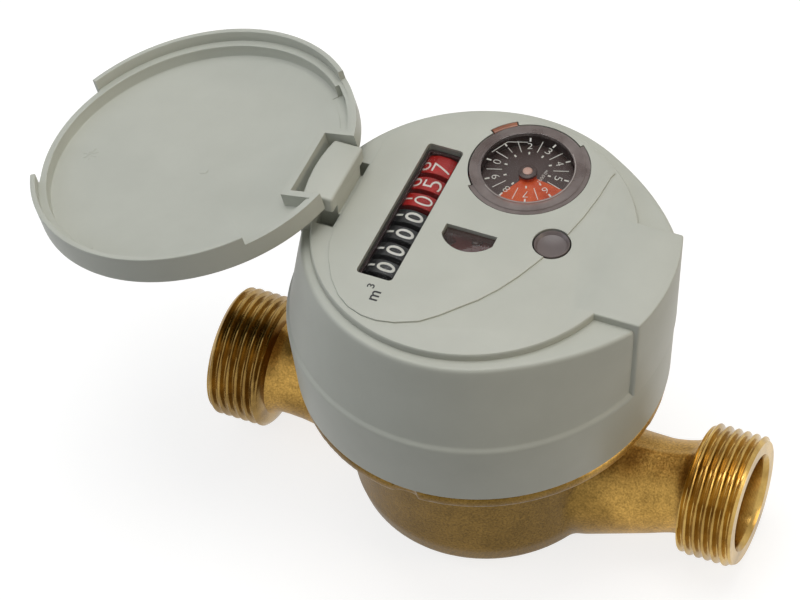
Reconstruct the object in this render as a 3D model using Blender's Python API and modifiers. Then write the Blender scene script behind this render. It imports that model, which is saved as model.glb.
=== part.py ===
"""Water meter: single-jet dry-dial domestic meter with threaded brass body and turnable register.

Frame: X along the pipe (inlet at -X, outlet at +X), Z up, origin in the middle of the flat base.
Lengths are written in millimetres and turned into metres when the meshes are made.
"""
import math

import bmesh
import bpy
from mathutils import Matrix, Vector

MM = 0.001
MERGE = 2e-7
GAP = 0.3                      # clearance between neighbouring pieces

# Pipe and body
AXIS_Z = 14.0                  # height of the pipe axis over the base
HALF_LEN = 55.0                # half of the length over the two spigots
THREAD_R = 13.1                # crest radius of the G 3/4 thread
THREAD_START = 44.0
MOUTH_R = 9.7
BORE_R = 9.1
NECK_Y = 1.5                   # sideways offset of each neck, to opposite sides
NECK_DROP = 1.7
# Neck sections from the body to the spigot: distance, radius and share of the offset
NECK_RINGS = ((20.0, 12.8, 1.45), (25.0, 11.9, 1.4), (31.0, 10.5, 1.2), (37.0, 9.55, 0.8),
              (42.2, 9.35, 0.2), (44.1, 10.9, 0.0))
CUP_R = 26.5
BASE_R = 18.7
CUP_FILLET = 7.8
FLANGE_R = 35.6
FLANGE_TOP = 35.1
COLLAR_R = 30.0
COLLAR_IN = 27.6
COLLAR_TOP = 41.0
GROOVE_R = 29.1
GROOVE_LOW = 37.9
GROOVE_HIGH = 39.7
CHAMBER_R = 22.5
CHAMBER_LOW = 6.0
SHELF_Z = 31.5
JET_R = 4.8
PIVOT_HOLE_R = 1.3

# Measuring chamber pieces
IMPELLER_R = 20.0
IMPELLER_BLADES = 8
IMPELLER_PIN_TOP = 32.2
PLATE_R = COLLAR_IN - 0.4
PLATE_LOW = SHELF_Z + GAP
PLATE_TOP = 34.4
RING_LOW = PLATE_TOP + GAP
RING_TOP = 39.8
RING_IN = 22.0

# Register case
SHELL_LOW = 35.45
SHELL_R_LOW = 36.2
SHELL_R_RIDGE = 36.8
RIDGE_Z = 50.4
WALL_R_LOW = 36.1
WALL_R_TOP = 32.85
LEDGE_Z = 68.8
DECK_Z = 70.4                  # flat top of the register
DECK_R = 30.5
DECK_X = -0.57                 # the lid seat is set slightly towards the hinge
PANEL_Z = 70.75
SHELL_IN_R = 34.0
DECK_UNDER = 68.4
CAVITY_R = 28.6
NOSE_R_TOP = 38.25
NOSE_R_LOW = 37.1
NOSE_HALF = 11.9
NOSE_Y = 0.6                   # the nose is set slightly to one side
BASE_PLATE_R = SHELL_IN_R - 0.35
BASE_PLATE_LOW = COLLAR_TOP + 0.4
BASE_PLATE_TOP = 43.4
WELL_R = 12.0
WELL_IN_R = 10.8
WELL_FLOOR = 36.1

# Hinge and lid
HINGE_X = -29.3
HINGE_Z = 74.33
HINGE_OPEN = 192.8             # degrees from closed to the open rest position
PIN_R = 0.75
BLOCK_TOP = 76.2
BLOCK_LOW = 73.0
BLOCK_HALF = 7.3
STEM_HALF = 5.15
BLOCK_FRONT = -25.8
STEM_FRONT = -25.4
SLOT_HALF = 8.6
LID_R = 31.96
LID_TOP = 75.27                # outer face of the closed lid
LID_PLATE = 1.3
SKIRT_IN = 30.95
SKIRT_H = 6.15
LOW_SKIRT_H = 4.2
RING_IN_R = 29.4
RING_H = 3.9
NOSE_GAP = 25.0                # degrees each way of the gap in the skirt over the nose
POCKET_HALF = 7.84
POCKET_LIP = -25.35

# Gear train
CENTRE = (0.0, 0.0)
TRANSFER = (9.298, 7.586)      # 12.0 from both the centre and the dial
DIAL = (3.0, 17.8)
WORM = (-7.05, 18.9)
LOWER_PLATE_Z = (44.0, 45.4)
BRIDGE_Z = (52.4, 53.8)
PILLARS = ((-23.0, -12.0), (14.5, -21.5), (-20.5, 16.0))

# Counter
WHEELS = 7
WHEEL_X = -13.3
WHEEL_Z = 62.5
WHEEL_R = 6.5
WHEEL_PITCH = 4.43
WHEEL_Y0 = 13.5                # middle of the fastest wheel
WHEEL_TEETH = 20
PINION_TEETH = 8
TOOTH_MODULE = 0.5
WORM_LEAD = 2.0 * math.pi * TOOTH_MODULE
CARRY_DIST = 0.5 * TOOTH_MODULE * (WHEEL_TEETH + PINION_TEETH)
CARRY_ANGLE = math.radians(-50.0)
CARRY_X = WHEEL_X + CARRY_DIST * math.cos(CARRY_ANGLE)
CARRY_Z = WHEEL_Z + CARRY_DIST * math.sin(CARRY_ANGLE)
AXLE_R = 0.8
CARRY_AXLE_R = 0.5
WORM_ARM_Z = (65.6, 66.5)      # arm that holds the top of the worm arbor
CHEEK_LOW_Y = (-18.6, -17.6)
CHEEK_HIGH_Y = (20.9, 21.9)

# Windows
COUNTER_WIN = (-13.3, 0.0, 7.2, 34.8)
DIAL_HOLE_R = 11.3
LEAK_CX = -0.7
LEAK_R = 5.9
PLUG = (14.3, 1.75, 3.65)

# Colours as linear RGB, roughness and metallic value for each named material
MATERIALS = {
    "brass cast": ((0.55, 0.33, 0.07), 0.35, 1.0),
    "grey plastic": ((0.50, 0.51, 0.47), 0.45, 0.0),
    "black plastic": ((0.02, 0.02, 0.02), 0.5, 0.0),
    "brown plastic": ((0.06, 0.025, 0.02), 0.45, 0.0),
    "white plastic": ((0.75, 0.75, 0.72), 0.5, 0.0),
    "red plastic": ((0.45, 0.02, 0.02), 0.4, 0.0),
    "orange plastic": ((0.85, 0.17, 0.02), 0.4, 0.0),
    "steel": ((0.60, 0.60, 0.60), 0.3, 1.0),
    "magnet": ((0.05, 0.05, 0.055), 0.6, 0.0),
    "rubber": ((0.02, 0.02, 0.02), 0.8, 0.0),
    "clear plastic": ((0.80, 0.80, 0.80), 0.05, 0.0),
}
WAIT = {}


def clear_scene():
    for obj in list(bpy.data.objects):
        bpy.data.objects.remove(obj, do_unlink=True)


def link(obj):
    bpy.context.scene.collection.objects.link(obj)
    return obj


def mesh_from(bm, name):
    bmesh.ops.recalc_face_normals(bm, faces=bm.faces)
    mesh = bpy.data.meshes.new(name)
    bm.to_mesh(mesh)
    bm.free()
    return link(bpy.data.objects.new(name, mesh))


def bake(obj):
    """Replace the mesh of obj by its evaluated mesh, with doubled points merged."""
    graph = bpy.context.evaluated_depsgraph_get()
    mesh = bpy.data.meshes.new_from_object(obj.evaluated_get(graph))
    obj.modifiers.clear()
    bm = bmesh.new()
    bm.from_mesh(mesh)
    bmesh.ops.remove_doubles(bm, verts=bm.verts, dist=MERGE)
    bmesh.ops.recalc_face_normals(bm, faces=bm.faces)
    bm.to_mesh(mesh)
    bm.free()
    obj.data = mesh
    return obj


def combine(target, tool, operation):
    mod = target.modifiers.new("boolean", "BOOLEAN")
    mod.operation = operation
    mod.solver = "EXACT"
    mod.object = tool
    bake(target)
    bpy.data.objects.remove(tool, do_unlink=True)
    return target


def join(target, *tools):
    for tool in tools:
        combine(target, tool, "UNION")
    return target


def cut(target, *tools):
    for tool in tools:
        combine(target, tool, "DIFFERENCE")
    return target


def lathe(name, profile, steps, centre=(0.0, 0.0, 0.0), axis="Z", ring=False):
    """Turn a profile of (radius, height) points; ring closes a profile that misses the axis."""
    bm = bmesh.new()
    verts = [bm.verts.new((r * MM, 0.0, h * MM)) for r, h in profile]
    for a, b in zip(verts, verts[1:]):
        bm.edges.new((a, b))
    if ring:
        bm.edges.new((verts[-1], verts[0]))
    mesh = bpy.data.meshes.new(name)
    bm.to_mesh(mesh)
    bm.free()
    obj = link(bpy.data.objects.new(name, mesh))
    mod = obj.modifiers.new("turn", "SCREW")
    mod.axis = "Z"
    mod.angle = 2.0 * math.pi
    mod.steps = steps
    mod.render_steps = steps
    mod.use_merge_vertices = True
    mod.merge_threshold = 0.00001
    bake(obj)
    turn = Matrix.Identity(4)
    if axis == "X":
        turn = Matrix.Rotation(math.radians(90.0), 4, "Y")
    if axis == "Y":
        turn = Matrix.Rotation(math.radians(-90.0), 4, "X")
    obj.data.transform(Matrix.Translation(Vector(centre) * MM) @ turn)
    return obj


def prism(name, points, low, high, axis="Z", centre=(0.0, 0.0, 0.0)):
    """Flat outline of 2-D points, made a filled curve and extruded along an axis."""
    curve = bpy.data.curves.new(name, "CURVE")
    curve.dimensions = "2D"
    curve.fill_mode = "BOTH"
    curve.extrude = 0.5 * (high - low) * MM
    spline = curve.splines.new("POLY")
    spline.points.add(len(points) - 1)
    for point, (x, y) in zip(spline.points, points):
        point.co = (x * MM, y * MM, 0.0, 1.0)
    spline.use_cyclic_u = True
    flat = link(bpy.data.objects.new(name, curve))
    flat.location = (0.0, 0.0, 0.5 * (low + high) * MM)
    graph = bpy.context.evaluated_depsgraph_get()
    mesh = bpy.data.meshes.new_from_object(flat.evaluated_get(graph))
    mesh.transform(flat.matrix_world)
    bpy.data.objects.remove(flat, do_unlink=True)
    bm = bmesh.new()
    bm.from_mesh(mesh)
    bmesh.ops.remove_doubles(bm, verts=bm.verts, dist=MERGE)
    bmesh.ops.dissolve_limit(bm, angle_limit=math.radians(0.2), verts=bm.verts, edges=bm.edges)
    bpy.data.meshes.remove(mesh)
    obj = mesh_from(bm, name)
    turn = Matrix.Identity(4)
    if axis == "Y":
        turn = Matrix.Rotation(math.radians(-90.0), 4, "X")
    obj.data.transform(Matrix.Translation(Vector(centre) * MM) @ turn)
    return obj


def box(name, low, high):
    bm = bmesh.new()
    bmesh.ops.create_cube(bm, size=1.0)
    size = [(b - a) * MM for a, b in zip(low, high)]
    mid = [0.5 * (a + b) * MM for a, b in zip(low, high)]
    bmesh.ops.scale(bm, vec=size, verts=bm.verts)
    bmesh.ops.translate(bm, vec=mid, verts=bm.verts)
    return mesh_from(bm, name)


def rod(name, x, y, z0, z1, radius, steps=16):
    bm = bmesh.new()
    bmesh.ops.create_cone(bm, cap_ends=True, segments=steps, radius1=radius * MM, radius2=radius * MM,
                          depth=(z1 - z0) * MM)
    bmesh.ops.translate(bm, vec=(x * MM, y * MM, 0.5 * (z0 + z1) * MM), verts=bm.verts)
    return mesh_from(bm, name)


def arc(cx, cy, radius, start, end, count):
    out = []
    for i in range(count + 1):
        a = math.radians(start + (end - start) * i / count)
        out.append((cx + radius * math.cos(a), cy + radius * math.sin(a)))
    return out


def gear_outline(teeth, root, tip, tip_share=0.26, root_share=0.52, phase=0.0):
    """Outline of a spur gear with straight flanks; many small teeth come to a point; phase in degrees."""
    pitch = 2.0 * math.pi / teeth
    tooth = ((root, -root_share), (tip, -tip_share), (tip, tip_share), (root, root_share))
    if teeth >= 16:
        tooth = ((root, -root_share), (tip, 0.0), (root, root_share))
    out = []
    for k in range(teeth):
        mid = math.radians(phase) + k * pitch
        for radius, share in tooth:
            a = mid + 0.5 * share * pitch
            out.append((radius * math.cos(a), radius * math.sin(a)))
    return out


def finish(obj, material, origin=(0.0, 0.0, 0.0), angle=32.0):
    """Give the object its material and its own origin, and collect it."""
    base, rough, metal = MATERIALS[material]
    mat = bpy.data.materials.new(obj.name + " " + material)
    mat.use_nodes = True
    shader = mat.node_tree.nodes["Principled BSDF"]
    shader.inputs["Base Color"].default_value = (*base, 1.0)
    shader.inputs["Roughness"].default_value = rough
    shader.inputs["Metallic"].default_value = metal
    obj.data.materials.clear()
    obj.data.materials.append(mat)
    place = Vector(origin) * MM
    obj.data.transform(Matrix.Translation(-place))
    obj.location = place
    for poly in obj.data.polygons:
        poly.use_smooth = True
    obj.data.set_sharp_from_angle(angle=math.radians(angle))
    obj.data.name = obj.name
    WAIT[obj.name] = obj
    return obj


# Body and measuring chamber

def neck_loft():
    """Cast neck: round sections that bend away from the pipe axis and widen towards the cup."""
    count = 16
    bm = bmesh.new()
    rings = []
    for x, radius, share in NECK_RINGS:
        ring = []
        for i in range(count):
            a = 2.0 * math.pi * (i + 0.5) / count
            y = radius * math.cos(a) - share * NECK_Y
            z = radius * math.sin(a) + AXIS_Z - share * NECK_DROP
            ring.append(bm.verts.new((x * MM, y * MM, z * MM)))
        rings.append(ring)
    for a, b in zip(rings, rings[1:]):
        for k in range(count):
            bm.faces.new((a[k], a[(k + 1) % count], b[(k + 1) % count], b[k]))
    bm.faces.new(rings[0])
    bm.faces.new(rings[-1])
    return mesh_from(bm, "neck")


def spigot(side):
    """Spigot at its crest size with its neck; side is +1 for the outlet and -1 for the inlet."""
    profile = [(0.0, THREAD_START - 0.2), (THREAD_R - 1.1, THREAD_START - 0.2), (THREAD_R, THREAD_START + 0.9)]
    profile += [(THREAD_R, HALF_LEN - 0.8), (THREAD_R - 0.7, HALF_LEN), (0.0, HALF_LEN)]
    outlet = lathe("spigot", profile, 22, (0.0, 0.0, AXIS_Z), "X")
    join(outlet, neck_loft())
    if side < 0:
        outlet.data.transform(Matrix.Rotation(math.pi, 4, "Z"))
    return outlet


def bore_tool(side):
    """Cutter for the mouth, the bore and the angled jet that meets the impeller rim."""
    mouth = [(0.0, 55.4), (MOUTH_R + 0.25, 55.4), (MOUTH_R + 0.1, 55.0), (9.2, 54.2), (BORE_R, 53.6)]
    mouth += [(BORE_R, 46.5), (JET_R, 41.5), (0.0, 41.5)]
    tool = lathe("bore", mouth, 16, (0.0, 0.0, AXIS_Z), "X")
    start = Vector((43.5, 0.0, AXIS_Z))
    end = Vector((14.0, -9.3, AXIS_Z))
    run = end - start
    jet = lathe("jet", [(0.0, run.length), (JET_R, run.length), (JET_R, 0.0), (0.0, 0.0)], 10)
    turn = run.to_track_quat("Z", "Y").to_matrix().to_4x4()
    jet.data.transform(Matrix.Translation(start * MM) @ turn)
    join(tool, jet)
    if side < 0:
        tool.data.transform(Matrix.Rotation(math.pi, 4, "Z"))
    return tool


def make_body():
    outer = [(0.0, 6.6), (PIVOT_HOLE_R, 6.6), (PIVOT_HOLE_R, 8.5), (3.2, 8.5), (3.2, CHAMBER_LOW)]
    outer += [(CHAMBER_R, CHAMBER_LOW), (CHAMBER_R, SHELF_Z), (COLLAR_IN, SHELF_Z)]
    outer += [(COLLAR_IN, COLLAR_TOP), (COLLAR_R, COLLAR_TOP), (COLLAR_R, GROOVE_HIGH)]
    outer += [(GROOVE_R, GROOVE_HIGH), (GROOVE_R, GROOVE_LOW), (COLLAR_R, GROOVE_LOW)]
    outer += [(COLLAR_R, FLANGE_TOP), (FLANGE_R - 0.4, FLANGE_TOP), (FLANGE_R, FLANGE_TOP - 0.4)]
    outer += [(FLANGE_R, 32.9), (FLANGE_R - 0.7, 32.2), (28.4, 29.6), (CUP_R, 26.5)]
    for r, h in arc(BASE_R, CUP_FILLET, CUP_FILLET, 0.0, -90.0, 4):
        outer.append((r, h))
    outer.append((0.0, 0.0))
    solid = outer[8:]
    cup = lathe("meter_body", [(0.0, COLLAR_TOP)] + solid[1:], 32)
    join(cup, spigot(1), spigot(-1))
    hollow = [(0.0, COLLAR_TOP + 1.0), (COLLAR_IN, COLLAR_TOP + 1.0)] + outer[7:3:-1]
    hollow += [(3.2, CHAMBER_LOW), (3.2, 8.5), (PIVOT_HOLE_R, 8.5), (PIVOT_HOLE_R, 6.6), (0.0, 6.6)]
    clean = []
    for point in hollow:
        if not clean or clean[-1] != point:
            clean.append(point)
    cut(cup, lathe("hollow", clean, 20))
    cut(cup, bore_tool(1), bore_tool(-1))
    notch = box("notch", (-3.6, -37.0, 31.0), (0.8, -FLANGE_R + 1.5, 36.0))
    cut(cup, notch)
    return finish(cup, "brass cast")


def make_strainer():
    centre = (0.0, 0.0, AXIS_Z)
    profile = [(0.0, -49.6), (7.4, -49.6), (7.4, -48.2), (BORE_R - GAP, -48.2), (BORE_R - GAP, -50.8)]
    profile += [(7.4, -50.8), (7.4, -50.2), (0.0, -50.2)]
    plate = lathe("inlet_strainer", profile, 14, centre, "X")
    spots = [(0.0, 0.0)] + [(4.9 * math.cos(k * math.pi / 3), 4.9 * math.sin(k * math.pi / 3)) for k in range(6)]
    for y, z in spots:
        hole = lathe("hole", [(0.0, -49.0), (2.0, -49.0), (2.0, -51.0), (0.0, -51.0)], 5,
                     (0.0, y, AXIS_Z + z), "X")
        cut(plate, hole)
    return finish(plate, "white plastic")


def make_pivot():
    profile = [(0.0, 10.6), (0.35, 10.5), (1.0, 9.6), (1.0, 6.9), (0.0, 6.9)]
    return finish(lathe("lower_pivot", profile, 12), "steel")


def make_impeller():
    hub = [(0.0, IMPELLER_PIN_TOP), (1.0, IMPELLER_PIN_TOP), (1.0, 30.3), (2.6, 30.3), (2.6, 26.2)]
    hub += [(9.4, 26.2), (9.4, 25.0), (3.4, 24.4), (3.4, 9.0), (1.35, 9.0), (1.35, 11.0), (0.0, 11.0)]
    wheel = lathe("impeller", hub, 12)
    for k in range(IMPELLER_BLADES // 2):
        blade = box("blade", (-IMPELLER_R, -0.5, 12.0), (IMPELLER_R, 0.5, 23.4))
        blade.data.transform(Matrix.Rotation(k * 2.0 * math.pi / IMPELLER_BLADES, 4, "Z"))
        join(wheel, blade)
    return finish(wheel, "white plastic")


def make_impeller_magnet():
    profile = [(2.95, 29.9), (8.6, 29.9), (8.6, 26.5), (2.95, 26.5)]
    return finish(lathe("impeller_magnet", profile, 16, ring=True), "magnet")


def make_pressure_plate():
    profile = [(0.0, PLATE_TOP), (PLATE_R, PLATE_TOP), (PLATE_R, PLATE_LOW), (25.9, PLATE_LOW)]
    profile += [(25.9, 33.3), (24.0, 33.3), (24.0, PLATE_LOW), (3.2, PLATE_LOW), (3.2, 30.7)]
    profile += [(PIVOT_HOLE_R, 30.7), (PIVOT_HOLE_R, 32.7), (0.0, 32.7)]
    return finish(lathe("pressure_plate", profile, 20), "brown plastic")


def make_plate_seal():
    profile = [(24.95 + x, 32.35 + z) for x, z in arc(0.0, 0.0, 0.62, 90.0, -210.0, 5)]
    return finish(lathe("plate_seal", profile, 18, ring=True), "rubber", angle=60.0)


def make_locking_ring():
    profile = [(RING_IN, RING_TOP), (PLATE_R, RING_TOP), (PLATE_R, RING_LOW), (RING_IN, RING_LOW)]
    ring = lathe("locking_ring", profile, 20, ring=True)
    for k in range(3):
        tool = box("slot", (-30.0, -2.0, 37.6), (30.0, 2.0, 41.0))
        tool.data.transform(Matrix.Rotation(math.radians(30.0 + 60.0 * k), 4, "Z"))
        cut(ring, tool)
    return finish(ring, "brass cast")


# Register case

def make_clip():
    profile = [(GROOVE_R + GAP, 39.4), (31.5, 39.4), (31.5, 38.2), (GROOVE_R + GAP, 38.2)]
    clip = lathe("register_clip", profile, 24, ring=True)
    cut(clip, box("gap", (26.0, -4.0, 37.0), (34.0, 4.0, 41.0)))
    return finish(clip, "steel")


def make_shield():
    profile = [(12.4, 41.1), (13.8, 41.1), (13.8, 35.4), (12.4, 35.4)]
    return finish(lathe("magnetic_shield", profile, 16, ring=True), "steel")


def make_register_base():
    profile = [(0.0, WELL_FLOOR), (1.1, WELL_FLOOR), (1.1, 37.2), (2.3, 37.2), (2.3, WELL_FLOOR)]
    profile += [(WELL_IN_R, WELL_FLOOR), (WELL_IN_R, BASE_PLATE_TOP), (BASE_PLATE_R, BASE_PLATE_TOP)]
    profile += [(BASE_PLATE_R, 36.3), (30.4, 36.3), (30.4, 37.85), (31.9, 37.85), (31.9, BASE_PLATE_LOW)]
    profile += [(WELL_R, BASE_PLATE_LOW), (WELL_R, 34.9), (0.0, 34.9)]
    return finish(lathe("register_base", profile, 22), "grey plastic")


def make_driven_magnet():
    profile = [(1.2, 41.6), (9.8, 41.6), (9.8, 38.0), (1.2, 38.0)]
    return finish(lathe("driven_magnet", profile, 16, ring=True), "magnet")


def arbor(name, spot, profile, steps=8):
    return lathe(name, profile, steps, (spot[0], spot[1], 0.0))


def spur(name, spot, low, high, teeth, module, phase, add=1.0, ded=1.15):
    """Spur gear blank with teeth, ready to be joined to its arbor."""
    pitch_r = 0.5 * teeth * module
    outline = gear_outline(teeth, pitch_r - ded * module, pitch_r + add * module, phase=phase)
    return prism(name, outline, low, high, centre=(spot[0], spot[1], 0.0))


def mesh_phase(spot_a, phase_a, teeth_a, spot_b, teeth_b):
    """Phase of gear b that puts its gap opposite the tooth of gear a."""
    line = math.degrees(math.atan2(spot_b[1] - spot_a[1], spot_b[0] - spot_a[0]))
    turned = (line - phase_a) * teeth_a / teeth_b
    return line + 180.0 + turned + 180.0 / teeth_b


TRANSFER_PHASE = mesh_phase(CENTRE, 0.0, 8, TRANSFER, 40)
POINTER_PHASE = mesh_phase(TRANSFER, 0.0, 8, DIAL, 40)
WORM_PHASE = mesh_phase(DIAL, 0.0, 16, WORM, 16)
LINK_MODULE = math.dist(DIAL, WORM) / 16.0


def make_driven_arbor():
    profile = [(0.0, 67.9), (0.9, 67.7), (0.9, 42.9), (2.6, 42.9), (2.6, 42.0), (0.9, 42.0)]
    profile += [(0.9, 37.5), (0.75, 37.4), (0.75, 36.5), (0.0, 36.4)]
    shaft = arbor("driven_arbor", CENTRE, profile)
    join(shaft, spur("pinion", CENTRE, 46.2, 48.2, 8, TOOTH_MODULE, 0.0, 0.8, 1.1))
    return finish(shaft, "steel")


def make_leak_star():
    outline = []
    for k in range(10):
        mid = k * 36.0
        for radius, step in ((5.0, -5.0), (5.0, 5.0), (3.9, 13.0), (3.9, 23.0)):
            a = math.radians(mid + step)
            outline.append((radius * math.cos(a), radius * math.sin(a)))
    star = prism("leak_star", outline, 66.6, 67.4)
    cut(star, rod("hole", 0.0, 0.0, 66.0, 68.0, 1.2, 14))
    return finish(star, "red plastic")


def make_transfer_gear():
    profile = [(0.0, 53.5), (0.6, 53.4), (0.6, 50.6), (1.3, 50.6), (1.3, 45.8), (0.6, 45.8), (0.6, 44.4), (0.0, 44.3)]
    shaft = arbor("transfer_gear", TRANSFER, profile)
    join(shaft, spur("wheel", TRANSFER, 46.5, 47.7, 40, TOOTH_MODULE, TRANSFER_PHASE, 0.8, 1.1))
    join(shaft, spur("pinion", TRANSFER, 48.5, 50.4, 8, TOOTH_MODULE, 0.0, 0.8, 1.1))
    return finish(shaft, "white plastic", (*TRANSFER, 0.0))


def make_pointer_arbor():
    profile = [(0.0, 69.0), (0.85, 68.9), (0.85, 44.4), (0.0, 44.3)]
    shaft = arbor("pointer_arbor", DIAL, profile)
    join(shaft, spur("wheel", DIAL, 48.9, 50.1, 40, TOOTH_MODULE, POINTER_PHASE, 0.8, 1.1))
    join(shaft, spur("link", DIAL, 50.75, 51.95, 16, LINK_MODULE, 0.0, 0.7, 1.0))
    return finish(shaft, "white plastic", (*DIAL, 0.0))


def worm_thread(start, low, high):
    """One start of the worm: a helical rib with closed ends."""
    steps = 12
    bm = bmesh.new()
    rings = []
    for i in range(steps + 1):
        z = low + (high - low) * i / steps
        a = start + 2.0 * math.pi * (z - low) / WORM_LEAD
        ring = []
        for radius, half in ((0.6, -0.33), (1.5, -0.2), (1.5, 0.2), (0.6, 0.33)):
            ring.append(bm.verts.new((radius * math.cos(a) * MM, radius * math.sin(a) * MM, (z + half) * MM)))
        rings.append(ring)
    for a, b in zip(rings, rings[1:]):
        for k in range(4):
            bm.faces.new((a[k], a[(k + 1) % 4], b[(k + 1) % 4], b[k]))
    bm.faces.new(rings[0])
    bm.faces.new(rings[-1])
    rib = mesh_from(bm, "rib")
    rib.data.transform(Matrix.Translation((WORM[0] * MM, WORM[1] * MM, 0.0)))
    return rib


def make_worm_arbor():
    profile = [(0.0, 66.3), (0.5, 66.2), (0.5, 65.3), (0.8, 65.2), (0.8, 58.6), (0.7, 58.4), (0.7, 50.5), (0.0, 50.4)]
    shaft = arbor("worm_arbor", WORM, profile)
    join(shaft, spur("link", WORM, 50.75, 51.95, 16, LINK_MODULE, WORM_PHASE, 0.7, 1.0))
    low = 59.3
    start = math.pi * (1.0 - 2.0 * (WHEEL_Z + 0.25 * WORM_LEAD - low) / WORM_LEAD)
    for turn in (0.0, math.pi):
        join(shaft, worm_thread(start + turn, low, 64.7))
    return finish(shaft, "white plastic", (*WORM, 0.0))


def movement_disc(name, low, high, holes):
    disc = rod(name, 0.0, 0.0, low, high, 28.3, 22)
    for x, y, radius in holes:
        cut(disc, rod("hole", x, y, low - 1.0, high + 1.0, radius, 8))
    return disc


def make_movement_plate():
    low, high = LOWER_PLATE_Z
    holes = [(*CENTRE, 1.3), (*TRANSFER, 0.95), (*DIAL, 1.2)]
    plate = movement_disc("movement_plate", low, high, holes)
    for x, y in PILLARS:
        join(plate, rod("pillar", x, y, low + 0.3, BRIDGE_Z[0] - GAP, 2.1, 12))
        cut(plate, rod("hole", x, y, 47.0, BRIDGE_Z[1], 1.2, 8))
    return finish(plate, "black plastic")


def make_movement_bridge():
    low, high = BRIDGE_Z
    holes = [(*CENTRE, 1.3), (*TRANSFER, 0.95), (*DIAL, 1.2), (*WORM, 1.05)]
    holes += [(x, y, 1.2) for x, y in PILLARS]
    return finish(movement_disc("movement_bridge", low, high, holes), "black plastic")


def make_screws():
    for k, (x, y) in enumerate(PILLARS):
        profile = [(0.0, 54.7), (0.45, 54.7), (0.45, 55.2), (1.2, 55.2), (1.6, 54.9), (1.6, 54.1), (0.9, 54.1)]
        profile += [(0.9, 47.4), (0.0, 47.4)]
        screw = lathe("movement_screw_%d" % (k + 1), profile, 8, (x, y, 0.0))
        finish(screw, "steel", (x, y, 0.0))


def make_counter_frame():
    low = BRIDGE_Z[1] + GAP
    frame = box("counter_frame", (-18.6, CHEEK_LOW_Y[0], low), (-11.6, CHEEK_HIGH_Y[1], low + 1.1))
    for y0, y1 in (CHEEK_LOW_Y, CHEEK_HIGH_Y):
        outline = [(-19.4, low), (-4.9, low), (-4.9, 58.6), (-9.4, 65.2), (-17.2, 65.2), (-19.4, 62.0)]
        if y0 > 0.0:
            outline[3:4] = [(-5.3, WORM_ARM_Z[1]), (-9.4, WORM_ARM_Z[1])]
        join(frame, prism("cheek", [(x, -z) for x, z in outline], y0, y1, "Y"))
        cut(frame, lathe("hole", [(0.0, y1 + 1), (AXLE_R + GAP, y1 + 1), (AXLE_R + GAP, y0 - 1), (0.0, y0 - 1)],
                         14, (WHEEL_X, 0.0, WHEEL_Z), "Y"))
        cut(frame, lathe("hole", [(0.0, y1 + 1), (CARRY_AXLE_R + GAP, y1 + 1), (CARRY_AXLE_R + GAP, y0 - 1),
                                  (0.0, y0 - 1)], 12, (CARRY_X, 0.0, CARRY_Z), "Y"))
    arm = box("arm", (-8.8, 17.4, WORM_ARM_Z[0]), (-5.3, y0 + 0.5, WORM_ARM_Z[1]))
    join(frame, arm)
    cut(frame, rod("hole", WORM[0], WORM[1], WORM_ARM_Z[0] - 1.0, WORM_ARM_Z[1] + 1.0, 0.8, 10))
    return finish(frame, "black plastic")


def make_axles():
    low, high = CHEEK_LOW_Y[0] - 0.6, CHEEK_HIGH_Y[1] + 0.5
    profile = [(0.0, high), (AXLE_R, high), (AXLE_R, low), (0.0, low)]
    finish(lathe("counter_axle", profile, 12, (WHEEL_X, 0.0, WHEEL_Z), "Y"), "steel")
    profile = [(0.0, high), (CARRY_AXLE_R, high), (CARRY_AXLE_R, low), (0.0, low)]
    finish(lathe("carry_axle", profile, 10, (CARRY_X, 0.0, CARRY_Z), "Y"), "steel")


def wheel_y(k):
    return WHEEL_Y0 - WHEEL_PITCH * k


def gear_y(name, spot, low, high, outline):
    """Prism along Y whose outline is given in the plane of X and Z."""
    return prism(name, [(x, -z) for x, z in outline], low, high, "Y", (spot[0], 0.0, spot[1]))


WHEEL_GEAR_LOW = 1.42          # offsets of the wheel's zones from its middle
WHEEL_GEAR_HIGH = 2.05
WHEEL_CARRY_LOW = -2.05
WHEEL_CARRY_HIGH = -1.5
DRIVE_RING_Y = (18.55, 19.25)


def make_number_wheel(k):
    """Drum with its 20-tooth ring on the fast side and the two-lug carry disc on the slow side."""
    name = "number_wheel_%d" % (k + 1)
    mid = wheel_y(k)
    spot = (WHEEL_X, WHEEL_Z)
    high = mid + (WHEEL_GEAR_LOW if k else 3.2)
    low = mid + WHEEL_CARRY_HIGH
    drum = lathe(name, [(0.0, high), (WHEEL_R, high), (WHEEL_R, low), (0.0, low)], 18, (WHEEL_X, 0.0, WHEEL_Z), "Y")
    outline = gear_outline(WHEEL_TEETH, 4.4, 5.35, 0.2, 0.46, 0.0)
    if k:
        join(drum, gear_y("ring", spot, high - 0.3, mid + WHEEL_GEAR_HIGH, outline))
    else:
        outline = gear_outline(WHEEL_TEETH, 4.5, 5.3, 0.24, 0.42, 0.0)
        hub = lathe("hub", [(0.0, 18.8), (2.6, 18.8), (2.6, high - 0.3), (0.0, high - 0.3)], 16,
                    (WHEEL_X, 0.0, WHEEL_Z), "Y")
        join(drum, hub, gear_y("ring", spot, DRIVE_RING_Y[0], DRIVE_RING_Y[1], outline))
    if k < WHEELS - 1:
        disc = arc(0.0, 0.0, 3.9, 9.0, 351.0, 8)
        disc += [(4.45, -0.55), (4.45, -0.2), (3.8, -0.12), (3.8, 0.12), (4.45, 0.2), (4.45, 0.55)]
        join(drum, gear_y("carry", spot, mid + WHEEL_CARRY_LOW, mid + WHEEL_CARRY_HIGH + 0.3, disc))
    bore = AXLE_R + GAP
    cut(drum, lathe("bore", [(0.0, 25.0), (bore, 25.0), (bore, -25.0), (0.0, -25.0)], 8,
                    (WHEEL_X, 0.0, WHEEL_Z), "Y"))
    return finish(drum, "black plastic" if k > 2 else "red plastic", (WHEEL_X, mid, WHEEL_Z))


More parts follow.
